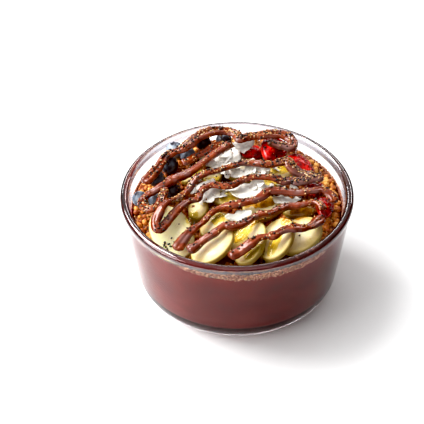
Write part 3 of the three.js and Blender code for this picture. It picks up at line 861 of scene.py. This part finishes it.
def banana_slice(number, material):
    node = f"banana_slice_{number}"
    slab = Slab(node)
    phase = rng.uniform(0, 2 * np.pi)
    lobes = 0.5 + 0.5 * np.cos(3 * slab.angles + phase)
    rim = slab.rim * (1 - 0.03 * lobes)
    edge = min(1.3, 0.55 * slab.half)
    profile = disc_profile(slab.half, edge, 24, 9, 0.5)
    profile[:, 2] *= np.where(profile[:, 2] < 0, 0.6, 1)  # thinner, as it lies sunk in honey
    local, faces = slab_grid(slab, profile, edge, rim)
    points = slab.place(local)
    relief = 0.08 * fractal(points, 8, 2, seed=10) + 0.06 * fractal(points, 1.8, 2, seed=11)
    upper = np.clip((local[:, 2] / slab.half + 1) / 2, 0, 1)
    points = points + slab.axes[2] * (relief * upper - 0.1)[:, None]
    share = np.repeat(profile[:, 0] + 0.2 * profile[:, 1], len(slab.angles))
    around = np.tile(polar(1, slab.angles, number), (len(profile), 1))
    data = {"share": share, "around": around, "painted_light": PAINTED_LIGHT_ON_SLICES.get(number, 0.0)}
    data.update({"honeyed": in_pool(points, 0.5), "browner": browner_to_front_right(points)})
    make_piece(f"banana_{number}", points, faces, material, [node], data)
    return points, faces


def strawberry_slice(number, material, smeared):
    """A slice with its skin up: crowned, and pitted under each seed."""
    node = f"strawberry_{number}"
    slab = Slab(node)
    edge = 0.7 * slab.half
    profile = disc_profile(slab.half, edge, 26, 7, 0.5 * slab.half)
    local, faces = slab_grid(slab, profile, edge, slab.rim)
    top = profile[:, 2].max()
    pits = []
    spacing = 2.9
    reach = slab.rim.max()
    for row, x in enumerate(np.arange(-reach, reach, spacing * 0.87)):
        for y in np.arange(-reach, reach, spacing) + (row % 2) * spacing / 2:
            x_at, y_at = x + rng.uniform(-0.3, 0.3), y + rng.uniform(-0.3, 0.3)
            angle = math.atan2(y_at, x_at) % (2 * np.pi)
            limit = np.interp(angle, slab.angles, slab.rim)
            if math.hypot(x_at, y_at) < 0.86 * limit and rng.random() < 0.5:
                pits.append((x_at, y_at))
    pits = np.array(pits)
    upper = local[:, 2] > -0.3 * slab.half
    gap = np.hypot(local[:, None, 0] - pits[:, 0], local[:, None, 1] - pits[:, 1]).min(1)
    local[:, 2] -= np.where(upper, 0.45 * np.exp(-((gap / 0.8) ** 2)), 0)
    points = slab.place(local)
    points += slab.axes[2] * (0.15 * fractal(points, 4, 2, seed=12))[:, None]
    pale = np.clip(-local[:, 2] / slab.half * 1.4, 0, 1) + 0.12 * np.exp(-((gap / 0.7) ** 2))
    data = {"pale": pale, "smeared": smeared}
    make_piece(f"strawberry_slice_{number}", points, faces, material, [node], data)
    surface = Surface((points, faces))
    seeds = []
    for x, y in pits:
        start = slab.place(np.array([x, y, top + 5.0]))
        hit, normal = surface.ray(start, -slab.axes[2])
        if hit is not None:
            seeds.append((hit, normal))
    return (points, faces), seeds


def blueberry(number, material):
    """A berry with its crown: a star of five short lobes round a dent."""
    node = f"blueberry_{number}"
    cad_points, cad_faces = triangles(node)
    middle, axes = principal_axes(cad_points, cad_faces)
    up = axes[2]
    level = (cad_points - middle) @ up
    off_axis = np.linalg.norm(cad_points - middle - level[:, None] * up, axis=1)
    if off_axis[level.argmax()] < off_axis[level.argmin()]:
        up = -up
        level = -level
    radius = (level.max() - level.min()) / BERRY_SOLID
    centre = middle + up * (level.min() + BERRY_SQUAT * radius)
    side = unit(np.cross(up, [0.3, 1.0, 0.2]))
    ahead = np.cross(up, side)
    around = 40
    angles = full_turn(around)
    # Rows of radius, height and share of the crown, in berry radii.
    body = np.radians(np.linspace(-90, 66, 22))
    profile = [(math.cos(a), BERRY_SQUAT * math.sin(a), 0.0) for a in body]
    profile += [(0.36, 0.86, 0.5), (0.31, 0.87, 1.0), (0.26, 0.80, 1.0), (0.18, 0.69, 1.0)]
    profile.append((0.0, 0.66, 1.0))
    rows = []
    for out, height, crown in profile:
        star = 1 + 0.16 * crown * np.cos(5 * angles) * (0.2 < out < 0.4)
        tip = 0.05 * crown * np.cos(5 * angles) * (0.24 < out < 0.4)
        radial = radius * out * star
        local = radial * np.cos(angles), radial * np.sin(angles), radius * (height + tip)
        rows.append(local[0][:, None] * side + local[1][:, None] * ahead + local[2][:, None] * up)
    points = centre + np.concatenate(rows)
    points = points + unit(points - centre) * (0.12 * fractal(points, 5, 2, seed=14 + number))[:, None]
    faces = grid_faces(len(profile), around)
    crown = np.repeat([p[2] for p in profile], around)
    data = {"crown": crown, "bloom_and_shade": BLOOMS_AND_SHADE[number - 1]}
    make_piece(f"berry_{number}", points, faces, material, [node], data)
    return points, faces


def coconut_flake(number, material):
    """A thin curled chip with a ruffled, ragged edge, on the middle surface of its solid."""
    node = f"coconut_flake_{number}"
    cad_points, cad_faces = triangles(node)
    middle, axes = principal_axes(cad_points, cad_faces)
    axes[2] = axes[2] * (1 if axes[2][2] > 0 else -1)
    axes[1] = np.cross(axes[2], axes[0])
    local = (cad_points - middle) @ axes.T
    half_length = (local[:, 0].max() - local[:, 0].min()) / 2
    half_width = (local[:, 1].max() - local[:, 1].min()) / 2 / math.sqrt(1.12)

    def bulge(u):
        return np.sqrt(np.maximum(1.12 - 0.9 * u**2, 0))

    def terms(u, v):
        return np.stack([1 + 0 * u, u, v, u * u, u * v, v * v * np.cos(3 * u)], -1)

    u = local[:, 0] / half_length
    v = local[:, 1] / (half_width * bulge(np.clip(u, -1, 1)))
    fit = np.linalg.lstsq(terms(u, v), local[:, 2], rcond=None)[0]

    along, around = 64, 44
    u = np.sin(np.linspace(-np.pi / 2, np.pi / 2, along))[:, None]
    turn = full_turn(around)[None, :]
    v = np.cos(turn) + 0 * u
    end = np.sqrt(np.clip(1 - ((np.abs(u) - 0.82) / 0.18).clip(0) ** 2, 0, 1))
    side = np.sign(v)
    trace = np.stack([u * half_length + 0 * v, side * 7 + 0 * u, 0 * v + number * 9.1], -1)
    ragged = 1 + 0.24 * fractal(trace.reshape(-1, 3), 4, 3, seed=16).reshape(v.shape)
    x = u * half_length + 0 * v
    y = v * half_width * bulge(u) * end * ragged
    ruffle = 0.55 * v**2 * np.sin(6.5 * u + number) + 0.35 * v**3 * np.sin(11 * u + 2 * number)
    thick = 0.4 * np.sin(turn) * (1 - 0.5 * v**2) * np.maximum(end, 0.3)
    wave = np.stack([x, y, 0 * x + number * 5.3], -1).reshape(-1, 3)
    creases = 0.55 * fractal(wave * [0.5, 1, 1], 2.6, 3, seed=17).reshape(v.shape)
    z = (terms(u + 0 * v, v * ragged) @ fit) + ruffle + creases + thick
    points = middle + np.stack([x, y, z], -1).reshape(-1, 3) @ axes
    faces = grid_faces(along, around)
    data = {"honeyed": in_pool(points, 0.6), "flake_shade": SHADED_FLAKES.get(number, 0.0)}
    make_piece(f"coconut_{number}", points, faces, material, [node], data)
    return points, faces


# ---------------------------------------------------------------- chocolate


def smooth_route(route, spacing):
    """Evenly spaced points on a smooth curve through a route, and the distance along it."""
    points = np.array(route, float)
    pace = np.sqrt(np.linalg.norm(np.diff(points, axis=0), axis=1))
    knots = np.concatenate([[0], np.cumsum(pace)])
    slopes = np.gradient(points, knots, axis=0)
    fine = np.linspace(0, knots[-1], 60 * len(points))
    i = np.clip(np.searchsorted(knots, fine, side="right") - 1, 0, len(points) - 2)
    span = (knots[i + 1] - knots[i])[:, None]
    t = (fine - knots[i])[:, None] / span
    curve = (
        (2 * t**3 - 3 * t**2 + 1) * points[i]
        + (t**3 - 2 * t**2 + t) * span * slopes[i]
        + (3 * t**2 - 2 * t**3) * points[i + 1]
        + (t**3 - t**2) * span * slopes[i + 1]
    )
    passed = np.concatenate([[0], np.cumsum(np.linalg.norm(np.diff(curve, axis=0), axis=1))])
    marks = np.linspace(0, passed[-1], int(passed[-1] / spacing) + 1)
    even = np.stack([np.interp(marks, passed, curve[:, k]) for k in range(curve.shape[1])], 1)
    return even, marks


def blur_line(values, width):
    """The values along a line, each averaged with its neighbours."""
    reach = int(3 * width)
    window = np.exp(-0.5 * (np.arange(-reach, reach + 1) / width) ** 2)
    padded = np.pad(values, reach, mode="edge")
    return np.convolve(padded, window / window.sum(), "valid")


def undersides(solid, plan):
    """Heights of a solid's underside along a line in plan. Where it passes over itself, the
    nearest to the last is meant, and where the line leaves the solid, the last holds on."""
    heights = []
    for x, y in plan:
        hits, start = [], 40.0
        while len(hits) < 4:
            hit, normal = solid.ray((x, y, start), (0, 0, 1))
            if hit is None:
                break
            if normal[2] < 0:
                hits.append(hit[2])
            start = hit[2] + 0.01
        guess = heights[-1] if heights else None
        if hits:
            heights.append(hits[0] if guess is None else min(hits, key=lambda h: abs(h - guess)))
        else:
            heights.append(guess)
    first = next(h for h in heights if h is not None)
    return np.array([first if h is None else h for h in heights])


def strand(number, route, material):
    """A poured strand: its own CAD solid gives its height, and its thickness wanders."""
    plan, passed = smooth_route(route, 0.6)
    heights = undersides(Surface(triangles(f"drizzle_{number}")), plan)
    middle = blur_line(heights, 4.5) + STRAND_RISE
    path = np.column_stack([plan, middle])
    ahead = unit(np.gradient(path, axis=0))
    side = unit(np.cross(ahead, [0, 0, 1.0]))
    up = np.cross(side, ahead)
    # Its girth swells and thins, with round ends.
    marks = np.stack([passed, 0 * passed + 50 * number, 0 * passed], 1)
    girth = read_off(GIRTHS[number - 1], passed / passed[-1])
    girth *= 1 + 0.14 * fractal(marks, 13, 2, seed=20) + 0.16 * fractal(marks, 5, 2, seed=21)
    near_end = np.minimum(passed, passed[-1] - passed)
    ends = np.sqrt(np.clip(1 - (1 - near_end / 2.6).clip(0) ** 2, 0, 1))
    around = 28
    angles = full_turn(around)[None, :]
    low = np.sin(angles) < 0
    across = np.cos(angles) * (girth * ends * STRAND_WIDTH / 2)[:, None]
    rise = np.sin(angles) * np.where(low, 0.8, 1.0) * (girth**0.6 * ends * STRAND_HEIGHT / 2)[:, None]
    # Ridges run along it as on any poured thread, and a groove parts it into two ribbons.
    twist = 1.2 * fractal(marks, 20, 1, seed=24)[:, None]
    from_top = (angles - np.pi / 2 - 0.5 * twist) / 0.35
    groove = GROOVES[number - 1] * np.exp(-(from_top**2))
    ridges = 1 - groove + 0.06 * np.cos(3 * angles + twist) + 0.04 * np.cos(7 * angles - twist)
    across, rise = across * ridges, rise * ridges
    points = path[:, None] + across[..., None] * side[:, None] + rise[..., None] * up[:, None]
    shape = points.reshape(-1, 3)
    outward = unit(shape - np.repeat(path, around, axis=0))
    relief = 0.18 * fractal(shape, 4, 2, seed=22) + 0.04 * fractal(shape, 1.2, 1, seed=23)
    shape = shape + outward * (relief * np.repeat(ends, around))[:, None]
    faces = grid_faces(len(path), around)
    # Dulled patches: partly smeared sauce, partly a painted reflection.
    dull_and_sheen = np.zeros(len(shape))
    for (x, y), reach in SMEARS_AND_SHEEN:
        gap = np.hypot(shape[:, 0] - x, shape[:, 1] - y)
        dull_and_sheen = np.maximum(dull_and_sheen, np.clip(1.3 - gap / reach, 0, 1))
    dull_and_sheen = np.maximum(dull_and_sheen, np.clip(2.4 * fractal(shape, 8, 2, seed=26) - 0.35, 0, 0.75))
    node = f"drizzle_{number}"
    make_piece(f"chocolate_{number}", shape, faces, material, [node], {"dull_and_sheen": dull_and_sheen})
    return shape, faces


# ---------------------------------------------------------------- grains and seeds


def ball(detail):
    """Points and triangles of a ball of radius 1, the start of a grain or a seed."""
    shape = bmesh.new()
    bmesh.ops.create_icosphere(shape, subdivisions=detail, radius=1)
    shape.verts.index_update()
    points = np.array([v.co for v in shape.verts])
    faces = np.array([[v.index for v in f.verts] for f in shape.faces])
    shape.free()
    return points, faces


def curled_chip():
    """A thin chip of half length 1, curled up along its length."""
    points, faces = ball(3)
    x, y, z = points.T
    return np.stack([x, y * (1 - 0.3 * x), 0.14 * z + 0.5 * x**2 + 0.5 * x * y], 1), faces


def facing(normals, lean):
    """Axes whose third follows each normal, leaning a little, turned at random."""
    count = len(normals)
    up = unit(np.asarray(normals) + lean * rng.standard_normal((count, 3)))
    along = unit(np.cross(up, unit(rng.standard_normal((count, 3)))))
    return np.stack([along, np.cross(up, along), up], 1)


def copies(shape, places, sizes, axes, uneven):
    """Joined copies of a shape, each roughened in its own way."""
    points, faces = shape
    count = len(places)
    rough = np.ones((count, len(points)))
    for pitch in (1.8, 3.1, 5.3):
        way = unit(rng.standard_normal((count, 3)))
        rough += uneven * np.cos(pitch * way @ points.T + rng.uniform(0, 2 * np.pi, (count, 1)))
    local = points[None] * rough[..., None] * sizes[:, None, :]
    world = np.einsum("nvi,nij->nvj", local, axes) + np.asarray(places)[:, None, :]
    joined = faces[None] + (np.arange(count) * len(points))[:, None, None]
    return world.reshape(-1, 3), joined.reshape(-1, faces.shape[1])


def scatter(name, shape, found, size, uneven, lean, material, sink=0.3, shade=None):
    """One piece of many copies that lie on a surface, each with a tone of its own."""
    places, normals = zip(*found)
    count = len(places)
    sizes = np.array(size) * rng.uniform(0.75, 1.25, (count, 1)) * rng.uniform(0.9, 1.1, (count, 3))
    axes = facing(normals, lean)
    raised = np.asarray(places) + np.asarray(normals) * (sizes[:, 2:] * (1 - 2 * sink))
    points, faces = copies(shape, raised, sizes, axes, uneven)
    tones = rng.uniform(0, 1, count)
    if shade is not None:
        tones = tones - shade
    data = {"tone": np.repeat(tones, len(shape[0]))}
    make_piece(name, points, faces, material, (), data)


def open_places(bed, cover, count, reach):
    """Places on a bed that nothing covers, or that lie just under the edge of what does."""
    found = []
    for angle, share in rng.uniform(0, 1, (count, 2)):
        radius = math.sqrt(share) * (inner_radius(GRANOLA_RIM) - 0.6)
        x, y = radius * math.cos(2 * math.pi * angle), radius * math.sin(2 * math.pi * angle)
        hit, normal = bed.under(x, y)
        around = [(0, 0), (reach, 0), (-reach, 0), (0, reach), (0, -reach)]
        if hit is not None and any(cover.under(x + dx, y + dy)[0] is None for dx, dy in around):
            found.append((hit, normal))
    return found


def rim_places(count, low, high):
    """Places on the inside of the glass, from the puree's edge up to where crumbs cling."""
    found = []
    for angle, share in rng.uniform(0, 1, (count, 2)):
        turn = 2 * math.pi * angle
        bottom = puree_edge(np.array([turn]))[0] + low
        top = read_off(CRUMB_EDGE, math.degrees(turn), period=360) + high
        if top < bottom:
            continue
        height = bottom + share * (top - bottom)
        inward = np.array([-math.cos(turn), -math.sin(turn), 0])
        found.append((-inward * (inner_radius(height) + 0.1) + [0, 0, height], inward))
    return found


def clear_of_glass(found, limit):
    """The places within that radius."""
    return [place for place in found if math.hypot(place[0][0], place[0][1]) < limit]


def shaded_inward_and_left(found):
    """Darker away from the bed's bare edge and towards the left: painted shade on grains that lie
    among the toppings.
    """
    place = np.array([hit for hit, _ in found])
    out = np.hypot(place[:, 0], place[:, 1])
    return np.clip((60 - out) / 10, 0, 1) * 0.4 + np.clip(-place[:, 0] / 60, 0, 1) * 0.22


def patch(surface, x, y, spread, count):
    """Places of a few seeds that fell beside a strand."""
    found = []
    for dx, dy in rng.normal(0, 1, (count, 2)) * spread:
        hit, normal = surface.under(x + dx, y + dy)
        if hit is not None:
            found.append((hit, normal))
    return found


def sprinkle(surface, number, per_mm, spread, seed):
    """Places where seeds land that fall along a strand, in drifts."""
    found = []
    plan, passed = smooth_route(STRANDS[number], 0.5)
    thick = read_off(SEEDING[number], passed / passed[-1])
    drifts = fractal(np.column_stack([plan, 0 * passed]), 9, 2, seed=seed)
    chance = per_mm * 0.5 * thick * np.clip(1 + 2.2 * drifts, 0, 3)
    for (x, y), share in zip(plan, chance):
        for _ in range(rng.poisson(share)):
            dx, dy = rng.normal(0, spread, 2)
            hit, normal = surface.under(x + dx - 0.3, y + dy + 0.5)
            if hit is not None and normal[2] > 0.05:
                found.append((hit, normal))
    return found


# ---------------------------------------------------------------- honey


def shifted(field, down, right):
    """A grid moved by whole cells, its edge repeated."""
    rows = np.clip(np.arange(field.shape[0]) - down, 0, field.shape[0] - 1)
    columns = np.clip(np.arange(field.shape[1]) - right, 0, field.shape[1] - 1)
    return field[np.ix_(rows, columns)]


def widen(field, cells, choose):
    """Each cell takes the highest, or lowest, of the cells round it."""
    result = field
    for down in range(-cells, cells + 1):
        for right in range(-cells, cells + 1):
            if math.hypot(down, right) <= cells + 0.3:
                result = choose(result, shifted(field, down, right))
    return result


def blur(field, passes):
    """A grid softened by averaging neighbours."""
    for _ in range(passes):
        field = (2 * field + shifted(field, 1, 0) + shifted(field, -1, 0)) / 4
        field = (2 * field + shifted(field, 0, 1) + shifted(field, 0, -1)) / 4
    return field


def honey_film(surface, material):
    """Honey that fills the dips between pieces and lies thin over their tops."""
    cell, half = 0.7, 70
    line = np.arange(-half, half + cell, cell)
    x, y = np.meshgrid(line, line)
    ground = np.array([
        [surface.height(px, py, PUREE_LEVEL) for px, py in zip(row_x, row_y)]
        for row_x, row_y in zip(x, y)
    ])
    filled = widen(widen(ground, 6, np.maximum), 6, np.minimum)
    level = np.minimum(blur(filled, 3), ground + 2.6)
    level = np.maximum(blur(level, 2), ground)
    amount = in_pool(np.stack([x, y, 0 * x], -1).reshape(-1, 3), 0.6).reshape(x.shape)
    top = ground + (level - ground + 0.35) * amount - 0.25 * (1 - amount)
    wet = amount > 0.02
    keep = wet[:-1, :-1] & wet[1:, :-1] & wet[:-1, 1:] & wet[1:, 1:]
    faces = grid_faces(len(line), len(line), closed=False)[keep.ravel()]
    used, faces = np.unique(faces, return_inverse=True)
    points = np.stack([x, y, top], -1).reshape(-1, 3)[used]
    browner = browner_to_front_right(points)
    film = make_piece("honey_film", points, faces.reshape(-1, 4), material, data={"browner": browner})
    if film.data.polygons[0].normal.z < 0:
        film.data.flip_normals()
    thick = film.modifiers.new("thick", "SOLIDIFY")
    thick.thickness = 1.2 * MM
    thick.offset = -1


# ---------------------------------------------------------------- assembly

glass_bowl()
puree_fill()
bed = granola_bed()

banana_material = banana_finish()
bananas = [banana_slice(n, banana_material) for n in range(1, 17)]
berry_material = blueberry_finish()
berries = [blueberry(n, berry_material) for n in range(1, 10)]
strawberry_material = strawberry_finish()
strawberries, achenes = [], []
for n, smeared in zip(range(1, 7), (0.0, 0.0, 0.1, 0.9, 0.1, 0.9)):
    body, seeds = strawberry_slice(n, strawberry_material, smeared)
    strawberries.append(body)
    achenes += seeds
coconut_material = coconut_finish()
flakes = [coconut_flake(n, coconut_material) for n in range(1, 10)]

fruit = [*bananas, *berries, *strawberries]
honey_film(Surface(bed, *bananas), honey_finish())

chips = []
for (x, y), (half_along, half_across), number in COCONUT_DRIFTS:
    chips += patch(Surface(*fruit, *flakes), x, y, (half_along, half_across), number)
scatter(
    "coconut_shreds", curled_chip(), chips, (4.4, 2.1, 1.9), 0.07, 0.3, coconut_material, 0.4,
)

chocolate_material = chocolate_finish()
strands = [strand(n + 1, route, chocolate_material) for n, route in enumerate(STRANDS)]

grain = ball(2)
crumb = ball(1)
open_bed = open_places(Surface(bed), Surface(*fruit, *flakes), 5200, 3.0)
rng.shuffle(open_bed)
# The first places take lumps, then come oats, then crumbs.
lumps = clear_of_glass(open_bed[:900], 66.8)
oats = clear_of_glass(open_bed[900:1360], 67.0)
bits = clear_of_glass(open_bed[1360:2400], 68.0)
lump_material = granola_finish("granola_lump", "904512", "cc7d2c", "f3b968")
oat_material = granola_finish("granola_oat", "94501c", "c98638", "e8b870")
bit_material = granola_finish("granola_crumb", "7a3d18", "c27f3c", "eabf84")
scatter(
    "granola_lumps", grain, lumps, (1.85, 1.65, 1.5), 0.08, 0.4, lump_material, 0.2,
    shaded_inward_and_left(lumps),
)
scatter(
    "granola_oats", crumb, oats, (1.9, 1.35, 0.55), 0.07, 0.5, oat_material, 0.2,
    shaded_inward_and_left(oats),
)
scatter("granola_crumbs", crumb, bits, (0.75, 0.6, 0.5), 0.1, 0.6, bit_material, 0.3)
wet_material = granola_finish("granola_wet", "8c4c3e", "b57a60", "dcae8c")
stuck = rim_places(3000, -0.6, 0.2)
scatter("granola_on_glass", crumb, stuck, (0.8, 0.62, 0.5), 0.1, 0.5, wet_material, 0.3)

achene_material = achene_finish()
scatter(
    "strawberry_seeds", crumb, achenes, (0.75, 0.5, 0.3), 0.03, 0.1, achene_material, 0.3
)

toppings = Surface(*strands, *fruit, *flakes)
chia, cream, dust = [], [], []
for n in range(len(STRANDS)):
    chia += sprinkle(toppings, n, 0.7, 1.9, seed=30 + n)
    cream += sprinkle(toppings, n, 0.34, 1.8, seed=40 + n)
    dust += sprinkle(toppings, n, 1.1, 2.2, seed=50 + n)
chia += patch(toppings, -46, -43, (4.2, 2.4), 14) + patch(toppings, -43, -46, (2.2, 1.6), 8)
chia_material = seed_finish("chia_seed", (0.2, "140c0c"), (0.7, "2a1d1c"), (0.95, "5a4a40"))
cream_material = seed_finish("cream_seed", (0.1, "a87a48"), (0.5, "d2b080"), (0.9, "eed8b4"))
scatter("chia_seeds", crumb, chia, (0.9, 0.6, 0.52), 0.03, 0.25, chia_material, 0.25)
scatter("cream_seeds", crumb, cream, (0.85, 0.46, 0.36), 0.05, 0.3, cream_material, 0.25)
scatter("loose_crumbs", crumb, dust, (0.55, 0.4, 0.35), 0.1, 0.5, bit_material, 0.25)

# ---------------------------------------------------------------- studio


def studio_floor():
    size = 4000
    steps = np.linspace(-size, size, 9)
    x, y = np.meshgrid(steps, steps)
    points = np.stack([x, y, 0 * x - 0.05], -1).reshape(-1, 3)
    mesh = bpy.data.meshes.new("floor")
    mesh.from_pydata((points * MM).tolist(), [], grid_faces(9, 9, closed=False).tolist())
    mesh.materials.append(floor_finish())
    floor = bpy.data.objects.new("floor", mesh)
    scene.collection.objects.link(floor)


def lamp(name, place, size, power):
    """A soft box, so wide and so high, aimed at the food."""
    data = bpy.data.lights.new(name, "AREA")
    data.shape = "RECTANGLE"
    data.size, data.size_y = size
    data.energy = power
    light = bpy.data.objects.new(name, data)
    light.location = place
    aim = Vector((0, 0, 0.06)) - Vector(place)
    light.rotation_euler = aim.to_track_quat("-Z", "Y").to_euler()
    scene.collection.objects.link(light)


# The sky's brightness by how far a direction turns to the window, at the back left and high.
WINDOW = Vector((-0.52, 0.34, 0.78))
SKY = [(-1.0, 0.1), (-0.2, 0.12), (0.3, 0.26), (0.9, 0.75)]
# It is dark along the horizon, which draws the glass's edges.
HORIZON = [(0.0, 0.04), (0.25, 0.12), (0.5, 0.9), (1.0, 1.0)]


def sky():
    """White behind the floor; for light and reflections, bright only towards the window."""
    world = bpy.data.worlds.new("studio")
    scene.world = world
    world.use_nodes = True
    studio = Nodes(world.node_tree)
    way = studio.add("TexCoord").outputs["Generated"]
    towards = studio.add("VectorMath", way, WINDOW, operation="DOT_PRODUCT").outputs["Value"]
    height = studio.add("SeparateXYZ", way).outputs["Z"]

    def levels(factor, stops, lowest):
        greys = [((p - lowest) / (1 - lowest), (level, level, level, 1)) for p, level in stops]
        return studio.band(factor, greys)

    window = levels(studio.between(towards, -1, 1), SKY, -1)
    light = studio.mix(1, window, levels(height, HORIZON, 0), "MULTIPLY")
    seen = studio.add("LightPath").outputs["Is Camera Ray"]
    shown = studio.mix(seen, light, (1, 1, 1, 1))
    studio.put(studio.nodes["Background"].inputs["Color"], shown)


def camera():
    """The photograph's view: 41 degrees above the bowl, through a long lens."""
    elevation, distance = math.radians(41.03), 1.0
    target = Vector((0, 0, 0.04))
    back = Vector((0, -math.cos(elevation), math.sin(elevation)))
    data = bpy.data.cameras.new("camera")
    data.lens = 127.7
    data.sensor_width = 36
    data.shift_x, data.shift_y = -0.0590, 0.0482
    eye = bpy.data.objects.new("camera", data)
    eye.location = target + back * distance
    eye.rotation_euler = (-back).to_track_quat("-Z", "Y").to_euler()
    scene.collection.objects.link(eye)
    scene.camera = eye


studio_floor()
sky()
lamp("key", (-0.78, 0.35, 0.98), (0.8, 0.8), 23)
lamp("front", (0.15, -0.9, 1.1), (1.0, 1.0), 1.9)
lamp("back", (0.1, 1.3, 0.85), (2.2, 0.12), 8)
lamp("side", (-1.2, -0.4, 0.65), (0.9, 0.9), 11)
camera()
scene.view_settings.view_transform = "Standard"
scene.view_settings.look = "Medium High Contrast"
scene.view_settings.use_curve_mapping = True
scene.view_settings.curve_mapping.black_level = (0.003, 0.010, 0.011)
